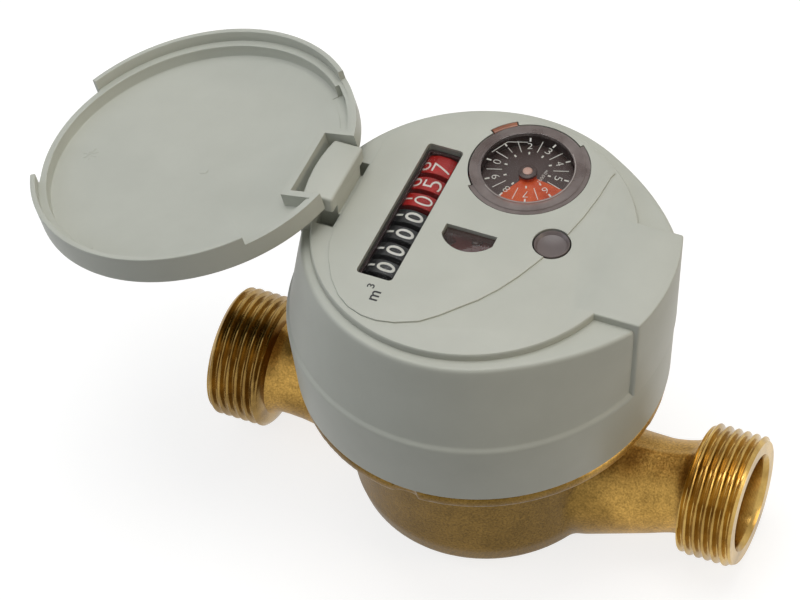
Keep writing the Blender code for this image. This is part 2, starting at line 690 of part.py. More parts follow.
def make_carry_pinion(k):
    """Eight-tooth pinion between wheel k and the next slower wheel."""
    low = wheel_y(k + 1) + WHEEL_GEAR_LOW + 0.25
    high = wheel_y(k) + WHEEL_CARRY_HIGH - 0.25
    phase = math.degrees(CARRY_ANGLE) + 180.0 + 180.0 / PINION_TEETH
    phase += math.degrees(CARRY_ANGLE) * WHEEL_TEETH / PINION_TEETH
    outline = gear_outline(PINION_TEETH, 1.45, 2.35, 0.2, 0.46, phase)
    pinion = gear_y("carry_pinion_%d" % (k + 1), (CARRY_X, CARRY_Z), low, high, outline)
    bore = CARRY_AXLE_R + GAP
    cut(pinion, lathe("bore", [(0.0, 25.0), (bore, 25.0), (bore, -25.0), (0.0, -25.0)], 8,
                      (CARRY_X, 0.0, CARRY_Z), "Y"))
    return finish(pinion, "white plastic", (CARRY_X, 0.5 * (low + high), CARRY_Z))


def make_dial_disc():
    x, y = DIAL
    disc = rod("dial_disc", x, y, 66.9, 67.6, 9.0, 24)
    for px, py in ((9.0, 22.8), (8.2, 11.6)):
        join(disc, rod("leg", px, py, BRIDGE_Z[1] + GAP, 67.2, 1.2, 10))
    cut(disc, rod("hole", x, y, 66.0, 69.0, 1.25, 12))
    return finish(disc, "brown plastic")


def make_pointer():
    """Sector pointer with its hub; the sector points between the figures 6 and 7."""
    x, y = DIAL
    outline = [(0.0, 0.0)] + arc(0.0, 0.0, 8.0, -116.0, -9.5, 12)
    sector = prism("pointer", outline, 68.2, 68.8, centre=(x, y, 0.0))
    hub = lathe("hub", [(0.0, 69.9), (0.9, 69.9), (1.7, 69.4), (1.7, 67.95), (0.0, 67.95)], 16, (x, y, 0.0))
    join(sector, hub)
    cut(sector, rod("bore", x, y, 67.0, 69.3, 1.15, 12))
    return finish(sector, "orange plastic", (x, y, 0.0))


# Windows and shell

def make_dial_window():
    x, y = DIAL
    profile = [(0.0, 71.0), (8.9, 71.0), (9.3, 70.75), (10.9, 70.9), (11.0, 70.8), (11.0, 68.9)]
    profile += [(10.2, 68.9), (10.2, 70.2), (0.0, 70.2)]
    return finish(lathe("dial_window", profile, 24, (x, y, 0.0)), "clear plastic")


def rounded_box(cx, cy, width, length, radius):
    out = []
    for sx, sy, start in ((1, 1, 0.0), (-1, 1, 90.0), (-1, -1, 180.0), (1, -1, 270.0)):
        ox = cx + sx * (0.5 * width - radius)
        oy = cy + sy * (0.5 * length - radius)
        out += arc(ox, oy, radius, start, start + 90.0, 3)
    return out


def leak_outline(grow):
    """Half-moon outline of the leak window, drawn in or out by grow."""
    r = LEAK_R + grow
    out = [(LEAK_CX + 5.1 + grow, -0.45 + grow), (LEAK_CX - 5.1 - grow, -0.45 + grow)]
    for p in arc(LEAK_CX, 0.0, r, 210.0, 330.0, 10):
        out.append((min(max(p[0], LEAK_CX - 5.1 - grow), LEAK_CX + 5.1 + grow), p[1]))
    return out


def make_counter_window():
    cx, cy, width, length = COUNTER_WIN
    outline = rounded_box(cx, cy, width - 2 * GAP, length - 2 * GAP, 0.6)
    return finish(prism("counter_window", outline, 69.5, 70.6), "clear plastic")


def make_leak_window():
    return finish(prism("leak_window", leak_outline(-GAP), 69.2, 70.2), "clear plastic")


def make_sensor_plug():
    x, y, r = PLUG
    return finish(rod("sensor_plug", x, y, 68.7, 69.6, r - GAP, 20), "brown plastic", (x, y, 0.0))


def wall_top_radius(angle):
    """Radius of the wall's top edge; it swells towards the nose on both sides."""
    off = abs((angle + 180.0) % 360.0 - 180.0)
    return WALL_R_TOP + 0.00615 * max(60.0 - max(off, 19.0), 0.0) ** 1.77


def make_shell_outside():
    """Outer skin of the housing as rings of different radius, lofted and closed."""
    count = 44
    levels = [(SHELL_LOW, SHELL_R_LOW - 0.3, 0.0), (SHELL_LOW + 0.3, SHELL_R_LOW, 0.0)]
    levels += [(RIDGE_Z - 0.8, SHELL_R_RIDGE, 0.0), (RIDGE_Z, SHELL_R_RIDGE - 0.1, 0.0)]
    levels += [(RIDGE_Z + 0.7, WALL_R_LOW + 0.15, 0.06), (RIDGE_Z + 1.2, WALL_R_LOW, 0.08)]
    levels += [(LEDGE_Z - 0.5, WALL_R_TOP, 1.0), (LEDGE_Z, WALL_R_TOP - 0.5, 1.0)]
    bm = bmesh.new()
    rings = []
    for z, radius, share in levels:
        ring = []
        for i in range(count):
            angle = 360.0 * i / count
            r = radius + share * (wall_top_radius(angle) - WALL_R_TOP)
            a = math.radians(angle)
            ring.append(bm.verts.new((r * math.cos(a) * MM, r * math.sin(a) * MM, z * MM)))
        rings.append(ring)
    for a, b in zip(rings, rings[1:]):
        for k in range(count):
            bm.faces.new((a[k], a[(k + 1) % count], b[(k + 1) % count], b[k]))
    bm.faces.new(rings[0])
    bm.faces.new(rings[-1])
    return mesh_from(bm, "housing_shell")


def nose_solid(r_low, r_top, half, x_in, z_low, z_top):
    """Block with a flaring round front, between two heights."""
    bm = bmesh.new()
    rings = []
    for z, r in ((z_low, r_low), (z_top, r_top)):
        low, high = NOSE_Y - half, NOSE_Y + half
        ring = [bm.verts.new((x_in * MM, low * MM, z * MM))]
        for x, y in arc(0.0, 0.0, r, math.degrees(math.asin(low / r)), math.degrees(math.asin(high / r)), 8):
            ring.append(bm.verts.new((x * MM, y * MM, z * MM)))
        ring.append(bm.verts.new((x_in * MM, high * MM, z * MM)))
        rings.append(ring)
    count = len(rings[0])
    for k in range(count):
        bm.faces.new((rings[0][k], rings[0][(k + 1) % count], rings[1][(k + 1) % count], rings[1][k]))
    bm.faces.new(rings[0])
    bm.faces.new(rings[1])
    return mesh_from(bm, "nose")


PANEL_POINTS = [(-25.0, -7.6), (-24.3, -12.8), (-22.8, -16.4), (-20.4, -20.5), (-17.6, -23.7),
                (-14.9, -25.6), (-11.7, -26.7), (-8.8, -26.9), (-5.3, -26.2), (-1.3, -24.4), (1.6, -21.8),
                (4.2, -18.8), (6.9, -15.8), (9.4, -12.1), (11.6, -7.9), (13.5, -3.4), (15.2, 1.0),
                (16.4, 5.6), (17.4, 10.2), (18.2, 15.9), (18.5, 21.2)]


def make_panel():
    """Raised lens-shaped field around the windows, closed by the round edge of the deck."""
    outline = list(PANEL_POINTS)
    reach = DECK_R - 0.9
    for k in range(13):
        a = math.radians(49.0 + (138.0 - 49.0) * k / 12)
        outline.append((DECK_X + reach * math.cos(a), reach * math.sin(a)))
    outline += [(-24.2, 17.8), (-25.0, 14.6)]
    return prism("panel", outline, DECK_Z - 0.6, PANEL_Z)


def block_outline(half, front):
    """Plan of the hinge block: straight front, round back that follows the lid."""
    reach = math.degrees(math.asin(half / (LID_R - 0.1)))
    back = arc(DECK_X, 0.0, LID_R - 0.1, 180.0 - reach, 180.0 + reach, 8)
    return [(front, half)] + back + [(front, -half)]


def make_hinge_block():
    """Cap on a narrower stem; the ends of the cap hold the lid's pins."""
    cap = prism("hinge", block_outline(BLOCK_HALF, BLOCK_FRONT), BLOCK_LOW, BLOCK_TOP)
    bevel = cap.modifiers.new("round", "BEVEL")
    bevel.width = 0.6 * MM
    bevel.segments = 2
    bevel.limit_method = "ANGLE"
    bevel.angle_limit = math.radians(40.0)
    bake(cap)
    stem = prism("stem", block_outline(STEM_HALF, STEM_FRONT), LEDGE_Z - 1.0, BLOCK_LOW + 1.0)
    join(cap, stem)
    for side in (-1.0, 1.0):
        ends = sorted((side * 6.0, side * 9.0))
        hole = lathe("hole", [(0.0, ends[1]), (PIN_R + GAP, ends[1]), (PIN_R + GAP, ends[0]), (0.0, ends[0])],
                     14, (HINGE_X, 0.0, HINGE_Z), "Y")
        cut(cap, hole)
    return cap


def make_housing_shell():
    shell = make_shell_outside()
    deck = lathe("deck", [(0.0, DECK_Z), (DECK_R - 0.35, DECK_Z), (DECK_R, DECK_Z - 0.35), (DECK_R, 66.5), (0.0, 66.5)],
                 44, (DECK_X, 0.0, 0.0))
    join(shell, deck)
    join(shell, nose_solid(NOSE_R_LOW - 0.02, NOSE_R_TOP, NOSE_HALF, 24.0, RIDGE_Z - 0.4, DECK_Z))
    join(shell, make_panel())
    cavity = [(0.0, DECK_UNDER), (CAVITY_R, DECK_UNDER), (CAVITY_R, 66.4), (30.4, 66.4), (33.2, 51.6)]
    cavity += [(SHELL_IN_R, 50.0), (SHELL_IN_R, 34.0), (0.0, 34.0)]
    cut(shell, lathe("cavity", cavity, 24))
    cut(shell, nose_solid(35.0, 36.0, NOSE_HALF - 2.0, 27.0, RIDGE_Z + 1.6, DECK_UNDER))
    rest = box("rest", (-31.6, -9.6, 65.0), (-23.6, 9.6, 69.0))
    join(shell, rest)
    for side in (-1.0, 1.0):
        near, far = sorted((side * STEM_HALF, side * SLOT_HALF))
        cut(shell, box("slot", (-29.6, near, 66.6), (STEM_FRONT, far, 72.0)))
        cut(shell, box("relief", (-34.0, near, LEDGE_Z), (-29.0, far, 72.0)))
    join(shell, make_hinge_block())
    cx, cy, width, length = COUNTER_WIN
    cut(shell, prism("window", rounded_box(cx, cy, width, length, 0.8), 67.0, 73.0))
    cut(shell, rod("hole", DIAL[0], DIAL[1], 67.0, 73.0, DIAL_HOLE_R, 24))
    cut(shell, prism("window", leak_outline(0.0), 67.0, 73.0))
    cut(shell, rod("hole", PLUG[0], PLUG[1], 67.0, 73.0, PLUG[2], 20))
    return finish(shell, "grey plastic")


# Lid

def lid_arc_tool(r0, r1, start, end, z0, z1):
    outline = arc(DECK_X, 0.0, r1, start, end, 14) + arc(DECK_X, 0.0, r0, end, start, 14)
    return prism("tool", outline, z0, z1)


def make_lid():
    """Lid modelled shut over the deck, then swung open about its pins."""
    top = LID_TOP
    profile = [(0.0, top), (LID_R - 0.45, top), (LID_R - 0.12, top - 0.12), (LID_R, top - 0.45)]
    profile += [(LID_R, top - SKIRT_H), (SKIRT_IN, top - SKIRT_H), (SKIRT_IN, top - RING_H)]
    profile += [(RING_IN_R, top - RING_H), (RING_IN_R, top - LID_PLATE), (0.0, top - LID_PLATE)]
    lid = lathe("lid", profile, 44, (DECK_X, 0.0, 0.0))
    cut(lid, lid_arc_tool(28.1, 30.2, 135.6, 224.4, top - 8.0, top - LID_PLATE + 0.1))
    cut(lid, lid_arc_tool(28.4, 34.0, 134.3, 225.7, top - 8.0, top - LOW_SKIRT_H))
    cut(lid, lid_arc_tool(SKIRT_IN - 0.3, 34.0, -NOSE_GAP, NOSE_GAP, top - 8.0, top - LID_PLATE - 0.1))
    side = POCKET_HALF + 1.36
    outline = [(POCKET_LIP + 1.5, -side), (POCKET_LIP + 1.5, side)]
    reach = math.degrees(math.asin(side / (LID_R - 0.4)))
    outline += arc(DECK_X, 0.0, LID_R - 0.4, 180.0 - reach, 180.0 + reach, 6)
    join(lid, prism("rib", outline, top - LOW_SKIRT_H + 0.04, top - 0.6))
    cut(lid, box("pocket", (-36.0, -POCKET_HALF, top - 8.0), (POCKET_LIP, POCKET_HALF, top + 1.0)))
    for side in (-1.0, 1.0):
        ends = sorted((side * 6.35, side * 8.3))
        pin = lathe("pin", [(0.0, ends[1]), (PIN_R, ends[1]), (PIN_R, ends[0]), (0.0, ends[0])], 14,
                    (HINGE_X, 0.0, HINGE_Z), "Y")
        join(lid, pin)
    pivot = Vector((HINGE_X, 0.0, HINGE_Z)) * MM
    swing = Matrix.Rotation(math.radians(-HINGE_OPEN), 4, "Y")
    lid.data.transform(Matrix.Translation(pivot) @ swing @ Matrix.Translation(-pivot))
    return finish(lid, "grey plastic", (HINGE_X, 0.0, HINGE_Z))


def main():
    clear_scene()
    make_body()
    make_strainer()
    make_pivot()
    make_impeller()
    make_impeller_magnet()
    make_plate_seal()
    make_pressure_plate()
    make_locking_ring()
    make_clip()
    make_shield()
    make_register_base()
    make_driven_magnet()
    make_driven_arbor()
    make_leak_star()
    make_transfer_gear()
    make_pointer_arbor()
    make_worm_arbor()
    make_movement_plate()
    make_movement_bridge()
    make_screws()
    make_counter_frame()
    make_axles()
    for k in range(WHEELS):
        make_number_wheel(k)
    for k in range(WHEELS - 1):
        make_carry_pinion(k)
    make_dial_disc()
    make_pointer()
    make_dial_window()
    make_counter_window()
    make_leak_window()
    make_sensor_plug()
    make_housing_shell()
    make_lid()
    group = bpy.data.collections.new("water_meter")
    bpy.context.scene.collection.children.link(group)
    for obj in WAIT.values():
        bpy.context.scene.collection.objects.unlink(obj)
        group.objects.link(obj)


main()
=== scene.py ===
import math
import bpy
from mathutils import Matrix, Vector


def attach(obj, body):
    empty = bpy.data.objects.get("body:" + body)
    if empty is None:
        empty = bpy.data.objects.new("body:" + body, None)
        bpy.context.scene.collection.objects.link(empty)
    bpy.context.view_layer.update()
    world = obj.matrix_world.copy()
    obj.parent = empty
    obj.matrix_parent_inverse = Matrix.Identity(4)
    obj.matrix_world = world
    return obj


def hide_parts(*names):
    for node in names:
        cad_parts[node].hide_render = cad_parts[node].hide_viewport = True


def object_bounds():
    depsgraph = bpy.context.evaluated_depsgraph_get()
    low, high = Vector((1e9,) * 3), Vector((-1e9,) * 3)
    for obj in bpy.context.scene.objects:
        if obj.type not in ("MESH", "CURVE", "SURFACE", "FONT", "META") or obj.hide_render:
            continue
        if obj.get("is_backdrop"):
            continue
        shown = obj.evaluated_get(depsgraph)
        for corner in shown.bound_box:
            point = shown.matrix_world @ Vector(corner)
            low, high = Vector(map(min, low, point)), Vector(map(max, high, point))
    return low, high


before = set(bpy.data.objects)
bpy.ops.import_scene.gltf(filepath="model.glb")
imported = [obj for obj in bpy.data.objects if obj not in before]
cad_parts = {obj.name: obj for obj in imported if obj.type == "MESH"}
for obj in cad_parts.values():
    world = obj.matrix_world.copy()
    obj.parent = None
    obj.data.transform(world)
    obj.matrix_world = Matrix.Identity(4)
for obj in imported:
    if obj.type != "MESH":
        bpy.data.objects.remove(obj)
cad_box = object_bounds()
MM = 0.001

# Camera: a long lens looking down on the meter from its front corner,
# so that the deck, the open lid and both spigots show.
camera = bpy.data.objects.new("camera", bpy.data.cameras.new("camera"))
bpy.context.scene.collection.objects.link(camera)
camera.data.sensor_width = 36.0
camera.data.lens = 175.509
turn = Matrix(((0.91744185, -0.26546704, 0.29635740),
               (0.39450637, 0.70361025, -0.59101382),
               (-0.05162542, 0.65913570, 0.75024992)))
camera.matrix_world = Matrix.Translation((0.20445829, -0.44151998, 0.60461875)) @ turn.to_4x4()
bpy.context.scene.camera = camera
bpy.context.scene.view_settings.view_transform = "Standard"


# Studio: a plain white floor under the meter, a pale sky that darkens towards the
# horizon, and three large soft lamps, one above the meter and one on each side.
def hex_colour(code):
    """Turn an sRGB hex value such as c8a04c into linear red, green, blue and alpha."""
    out = []
    for i in (0, 2, 4):
        c = int(code[i:i + 2], 16) / 255.0
        out.append(c / 12.92 if c <= 0.04045 else ((c + 0.055) / 1.055) ** 2.4)
    return (*out, 1.0)


def add_node(tree, kind, settings=None, links=None, **values):
    """Add a node; settings are its attributes, values its sockets, links its inputs' sources."""
    node = tree.nodes.new("ShaderNode" + kind)
    for key, value in (settings or {}).items():
        setattr(node, key, value)
    for key, value in values.items():
        node.inputs[key.replace("_", " ")].default_value = value
    for key, source in (links or {}).items():
        tree.links.new(source, node.inputs[key])
    return node


def blank_material(name):
    material = bpy.data.materials.new(name)
    material.use_nodes = True
    material.node_tree.nodes.clear()
    return material


def seen_ray(tree):
    """1 for a ray that shows the background: straight, mirrored or through a window."""
    path = add_node(tree, "LightPath")
    direct = add_node(tree, "Math", {"operation": "MAXIMUM"}, {0: path.outputs["Is Camera Ray"],
                                                               1: path.outputs["Is Transmission Ray"]})
    both = add_node(tree, "Math", {"operation": "MAXIMUM"}, {0: direct.outputs[0], 1: path.outputs["Is Glossy Ray"]})
    return both.outputs[0]


bpy.ops.object.select_all(action="DESELECT")
bpy.ops.mesh.primitive_plane_add(size=3.0, location=(0.0, 0.0, cad_box[0][2]))
floor = bpy.context.object
floor.name = "floor"
floor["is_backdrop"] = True
# Matt white paper: it shows as pure white to the camera and takes only a faint shadow.
PAPER_LIFT = 0.78
paper = blank_material("white paper sweep")
tree = paper.node_tree
lift = add_node(tree, "Math", {"operation": "MULTIPLY"}, {0: seen_ray(tree)})
lift.inputs[1].default_value = PAPER_LIFT
white = add_node(tree, "BsdfDiffuse", None, None, Color=hex_colour("a6a6a4"))
glow = add_node(tree, "Emission", None, {"Strength": lift.outputs[0]}, Color=(1.0, 1.0, 1.0, 1.0))
both = add_node(tree, "AddShader", None, {0: white.outputs[0], 1: glow.outputs[0]})
add_node(tree, "OutputMaterial", None, {"Surface": both.outputs[0]})
floor.data.materials.append(paper)

world = bpy.data.worlds.new("studio")
bpy.context.scene.world = world
world.use_nodes = True
tree = world.node_tree
tree.nodes.clear()
where = add_node(tree, "TexCoord")
split = add_node(tree, "SeparateXYZ", None, {0: where.outputs["Generated"]})
ramp = add_node(tree, "ValToRGB", None, {0: split.outputs["Z"]})
ramp.color_ramp.elements[0].position = 0.0
ramp.color_ramp.elements[0].color = (0.30, 0.30, 0.30, 1.0)
ramp.color_ramp.elements[1].position = 1.0
ramp.color_ramp.elements[1].color = (0.62, 0.63, 0.64, 1.0)
for height, grey in ((0.12, 0.14), (0.35, 0.30), (0.6, 0.72)):
    stop = ramp.color_ramp.elements.new(height)
    stop.color = (grey, grey, grey * 1.01, 1.0)
sky = add_node(tree, "Background", None, {"Color": ramp.outputs[0]}, Strength=0.55)
plain = add_node(tree, "Background", None, None, Color=(1.0, 1.0, 1.0, 1.0), Strength=1.0)
pick = add_node(tree, "MixShader", None, {0: seen_ray(tree), 1: sky.outputs[0], 2: plain.outputs[0]})
add_node(tree, "OutputWorld", None, {"Surface": pick.outputs[0]})

LAMPS = (((-0.10, 0.10, 0.85), 0.55, 3.2, "ffffff"),
         ((-0.75, -0.35, 0.45), 0.50, 1.15, "e4eeff"),
         ((0.80, 0.05, 0.40), 0.40, 1.5, "ffeccf"))
for spot, size, power, tint in LAMPS:
    bpy.ops.object.light_add(type="AREA", location=spot)
    lamp = bpy.context.object
    lamp.data.size = size
    lamp.data.energy = power
    lamp.data.color = hex_colour(tint)[:3]
    lamp.rotation_euler = (Vector((0.0, 0.0, 0.05)) - lamp.location).to_track_quat("-Z", "Y").to_euler()


# Body casting: gravity-cast brass cup with two bent necks, shot-blasted after casting,
# so it has a fine grain, soft corners and a parting line along the top of each neck.
AXIS_Z = 14.0
NECK_SHIFT, NECK_DROP, PARTING_RISE = 1.5, 1.7, 0.45
BORE_SLANT = 0.315
SKIN_VOXEL = 0.62
NECK_RINGS = ((20.0, 12.8, 1.45), (25.0, 11.9, 1.4), (31.0, 10.5, 1.2), (37.0, 9.55, 0.8),
              (40.0, 9.3, 0.45), (42.4, 9.3, 0.15), (43.3, 9.9, 0.05), (44.4, 11.0, 0.0))


def solo(obj):
    """Make obj the one selected and active object."""
    bpy.ops.object.select_all(action="DESELECT")
    obj.select_set(True)
    bpy.context.view_layer.objects.active = obj
    return obj


def apply_modifier(obj, kind, **settings):
    solo(obj)
    mod = obj.modifiers.new(kind.lower(), kind)
    for key, value in settings.items():
        setattr(mod, key, value)
    bpy.ops.object.modifier_apply(modifier=mod.name)


def cut_with(obj, tool, operation="DIFFERENCE"):
    apply_modifier(obj, "BOOLEAN", operation=operation, solver="EXACT", object=tool)
    bpy.data.objects.remove(tool, do_unlink=True)


def turned(name, rings, sides=96, centre=(0.0, 0.0, 0.0), along="Z", closed=True):
    """Turned shape: a round blank is extruded and resized from ring to ring of (height, radius).

    An open blank whose last ring is its first is welded to a tube.
    """
    k = "XYZ".index(along)
    axis = Vector([float(j == k) for j in range(3)])
    side = Vector([0.0 if j == k else centre[j] for j in range(3)])
    tilt = ((0.0, math.pi / 2.0, 0.0), (math.pi / 2.0, 0.0, 0.0), (0.0, 0.0, 0.0))[k]
    height, radius = rings[0]
    bpy.ops.object.select_all(action="DESELECT")
    bpy.ops.mesh.primitive_circle_add(vertices=sides, radius=radius * MM, rotation=tilt,
                                      fill_type="NGON" if closed else "NOTHING",
                                      location=(side + axis * height) * MM)
    obj = bpy.context.object
    obj.name = name
    bpy.ops.object.transform_apply(location=True, rotation=True, scale=True)
    bpy.ops.object.mode_set(mode="EDIT")
    bpy.ops.mesh.select_all(action="SELECT")
    for new_height, new_radius in rings[1:]:
        step = axis * (new_height - height) * MM
        bpy.ops.mesh.extrude_region_move(TRANSFORM_OT_translate={"value": step})
        grow = new_radius / radius
        if abs(grow - 1.0) > 1e-6:
            scale = [1.0 if j == k else grow for j in range(3)]
            bpy.ops.transform.resize(value=scale, center_override=(side + axis * new_height) * MM)
        height, radius = new_height, new_radius
    bpy.ops.mesh.select_all(action="SELECT")
    bpy.ops.mesh.remove_doubles(threshold=1e-6)
    bpy.ops.mesh.normals_make_consistent(inside=False)
    bpy.ops.object.mode_set(mode="OBJECT")
    return obj


def smooth(obj, degrees=35.0):
    solo(obj)
    bpy.ops.object.shade_smooth_by_angle(angle=math.radians(degrees))
    return obj


def merge(name, *parts):
    """Join several objects into the first one."""
    bpy.ops.object.select_all(action="DESELECT")
    for part in parts:
        part.select_set(True)
    bpy.context.view_layer.objects.active = parts[0]
    bpy.ops.object.join()
    parts[0].name = name
    return parts[0]


def block(name, low, high):
    """Rectangular blank between two corners, in mm."""
    mid = [0.5 * (a + b) * MM for a, b in zip(low, high)]
    size = [(b - a) * MM for a, b in zip(low, high)]
    bpy.ops.object.select_all(action="DESELECT")
    bpy.ops.mesh.primitive_cube_add(size=1.0, location=mid)
    obj = bpy.context.object
    obj.name = name
    obj.scale = size
    bpy.ops.object.transform_apply(location=True, rotation=True, scale=True)
    return obj


def turn_half(obj):
    """Turn obj half a turn about the upright axis."""
    solo(obj)
    obj.rotation_euler = (0.0, 0.0, math.pi)
    bpy.ops.object.transform_apply(location=True, rotation=True, scale=True)
    return obj


def neck(side):
    """Neck that bends down and aside towards the cup, with its parting line raised on top."""
    rings = [(x, r) for x, r, share in NECK_RINGS]
    obj = turned("neck", rings, 48, (0.0, 0.0, AXIS_Z), "X")
    for vert in obj.data.vertices:
        x = vert.co.x / MM
        for (x0, _, s0), (x1, _, s1) in zip(NECK_RINGS, NECK_RINGS[1:]):
            if x0 - 0.01 <= x <= x1 + 0.01:
                share = s0 + (s1 - s0) * (x - x0) / (x1 - x0)
        vert.co.y -= NECK_SHIFT * share * MM
        vert.co.z -= NECK_DROP * share * MM
        lean = vert.co.z / MM - (AXIS_Z - NECK_DROP * share)
        if abs(vert.co.y / MM + NECK_SHIFT * share) < 0.5 and lean > 0.0:
            vert.co.z += PARTING_RISE * MM
    return turn_half(obj) if side < 0 else obj


cup = turned("body_casting", [(0.0, 18.4), (0.25, 20.5), (1.5, 23.3), (4.0, 25.6), (7.6, 26.5), (26.5, 26.5),
                              (29.6, 28.4), (32.2, 34.9), (32.6, 35.5), (34.8, 35.6), (35.1, 35.3), (35.1, 30.0),
                              (37.9, 30.0), (37.9, 29.1), (39.7, 29.1), (39.7, 30.0), (41.0, 30.0)], 96)
cut_with(cup, neck(1), "UNION")
cut_with(cup, neck(-1), "UNION")
cut_with(cup, turned("chamber", [(42.0, 27.6), (31.5, 27.6), (31.5, 22.5), (6.0, 22.5)], 64))
for side in (1, -1):
    bore = turned("bore", [(45.5, 8.2), (41.5, 4.8), (17.0, 4.8)], 32, (0.0, 0.0, AXIS_Z), "X")
    for vert in bore.data.vertices:
        vert.co.y -= max(41.5 - vert.co.x / MM, 0.0) * BORE_SLANT * MM
    cut_with(cup, turn_half(bore) if side < 0 else bore)
cut_with(cup, block("notch", (-3.6, -37.0, 31.0), (0.8, -34.1, 36.0)))
apply_modifier(cup, "REMESH", mode="VOXEL", voxel_size=SKIN_VOXEL * MM)
apply_modifier(cup, "SMOOTH", factor=0.5, iterations=4)
smooth(cup, 60.0)
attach(cup, "body")
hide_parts("meter_body")


def metal(name, bright, dull, grain, rough, depth, lines=0.0, patina=None, speck=0.2):
    """Metal with a grain of the given size in mm, duller patches and optional turning lines.

    patina is the brown that covers the cup, away from the necks, which handling keeps bright.
    """
    material = blank_material(name)
    tree = material.node_tree
    where = add_node(tree, "TexCoord").outputs["Object"]
    patches = add_node(tree, "TexNoise", None, {"Vector": where}, Scale=1.0 / (9.0 * MM), Detail=5.0, Roughness=0.62)
    fine = add_node(tree, "TexNoise", None, {"Vector": where}, Scale=1.0 / (grain * MM), Detail=3.0, Roughness=0.6)
    mixed = add_node(tree, "ValToRGB", None, {0: patches.outputs[0]})
    mixed.color_ramp.elements[0].position = 0.36
    mixed.color_ramp.elements[0].color = hex_colour(dull)
    mixed.color_ramp.elements[1].position = 0.62
    mixed.color_ramp.elements[1].color = hex_colour(bright)
    speckle = add_node(tree, "MapRange", None, {0: fine.outputs[0]})
    for k, value in ((1, 0.3), (2, 0.7), (3, 1.0 - 1.3 * speck), (4, 1.0 + speck)):
        speckle.inputs[k].default_value = value
    worn = mixed.outputs[0]
    if patina:
        split = add_node(tree, "SeparateXYZ", None, {0: where})
        reach = add_node(tree, "Math", {"operation": "ABSOLUTE"}, {0: split.outputs["X"]})
        handled = add_node(tree, "MapRange", {"interpolation_type": "SMOOTHSTEP"}, {0: reach.outputs[0]})
        handled.inputs[1].default_value = 20.0 * MM
        handled.inputs[2].default_value = 36.0 * MM
        handled.inputs[3].default_value = 0.8
        handled.inputs[4].default_value = 0.0
        brown = add_node(tree, "Mix", {"data_type": "RGBA"}, {0: handled.outputs[0], 6: worn})
        brown.inputs[7].default_value = hex_colour(patina)
        worn = brown.outputs[2]
    dust = add_node(tree, "Mix", {"data_type": "RGBA", "blend_type": "MULTIPLY"}, {6: worn, 7: speckle.outputs[0]})
    dust.inputs[0].default_value = 1.0
    gloss = add_node(tree, "MapRange", None, {0: fine.outputs[0]})
    gloss.inputs[3].default_value = rough - 0.07
    gloss.inputs[4].default_value = rough + 0.12
    height = fine.outputs[0]
    if lines:  # a wave texture of scale 1 repeats every 0.314 m
        rings = add_node(tree, "TexWave", {"bands_direction": "X"}, {"Vector": where},
                         Scale=0.314 / (lines * MM), Distortion=0.6, Detail=2.0)
        height = add_node(tree, "Math", {"operation": "ADD"}, {0: rings.outputs[1], 1: fine.outputs[0]}).outputs[0]
    bump = add_node(tree, "Bump", None, {"Height": height}, Strength=0.5, Distance=depth * MM)
    shader = add_node(tree, "BsdfPrincipled", None, {"Base Color": dust.outputs[2], "Roughness": gloss.outputs[0],
                                                     "Normal": bump.outputs[0]}, Metallic=1.0)
    add_node(tree, "OutputMaterial", None, {"Surface": shader.outputs[0]})
    return material


# Shot-blasted cast brass: warm yellow on the necks, dulled by a grain of about 0.4 mm,
# and browner on the cup.
cast_brass = metal("cast brass, shot-blasted", "bf9850", "94743a", 0.42, 0.40, 0.11, 0.0, "5c4823", 0.3)
cup.data.materials.clear()
cup.data.materials.append(cast_brass)


# Spigots: the two ends of the casting, turned to size with a G 3/4 thread of 1.8 mm pitch,
# a faced end and a bore. Each is an open tube whose inner end lies at the neck.
THREAD_PITCH, THREAD_START = 1.814, 44.9
THREAD_R, THREAD_HALF = 12.53, 0.57
# Turned brass: brighter and smoother than the casting, with fine rings from the tool.
turned_brass = metal("brass, machine-turned", "cba962", "9f8046", 0.9, 0.2, 0.006, 0.28, None, 0.04)
# The inlet's has tarnished: the same rings, in a browner and darker yellow.
aged_brass = metal("brass, machine-turned and tarnished", "a98a4e", "7d6234", 1.2, 0.22, 0.008, 0.28, None, 0.06)
for side, name in ((1, "outlet_spigot"), (-1, "inlet_spigot")):
    rings = [(43.6, 10.6), (43.9, 12.0)]
    rings += [(44.1 + THREAD_PITCH / 10.0 * k, 12.5) for k in range(59)]
    rings += [(55.0, 12.3), (55.0, 9.8), (54.3, 9.25), (53.8, 9.1), (46.5, 9.1), (43.6, 6.4), (43.6, 10.6)]
    spigot = turned(name, rings, 96, (0.0, 0.0, AXIS_Z), "X", False)
    for vert in spigot.data.vertices:
        x = vert.co.x / MM
        y, z = vert.co.y / MM, vert.co.z / MM - AXIS_Z
        radius = math.hypot(y, z)
        if 44.0 < x < 54.9 and radius > 12.0:
            wave = math.cos(2.0 * math.pi * ((x - THREAD_START) / THREAD_PITCH - math.atan2(z, y) / (2.0 * math.pi)))
            wave = wave * (1.15 - 0.15 * wave * wave)
            wanted = THREAD_R + THREAD_HALF * wave * min(1.0, max(0.0, (x - 43.8) / 0.9))
            wanted = min(wanted, 12.3 + 1.0 * (55.0 - x) / 0.9)
            vert.co.y = wanted / radius * y * MM
            vert.co.z = (AXIS_Z + wanted / radius * z) * MM
    if side < 0:
        turn_half(spigot)
    smooth(spigot, 40.0)
    spigot.data.materials.append(turned_brass if side > 0 else aged_brass)
    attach(spigot, "body")


# Wet side: a nylon strainer in the inlet, the impeller with its ferrite magnet on a steel
# pivot, and the plate with its seal, held down by a brass ring.


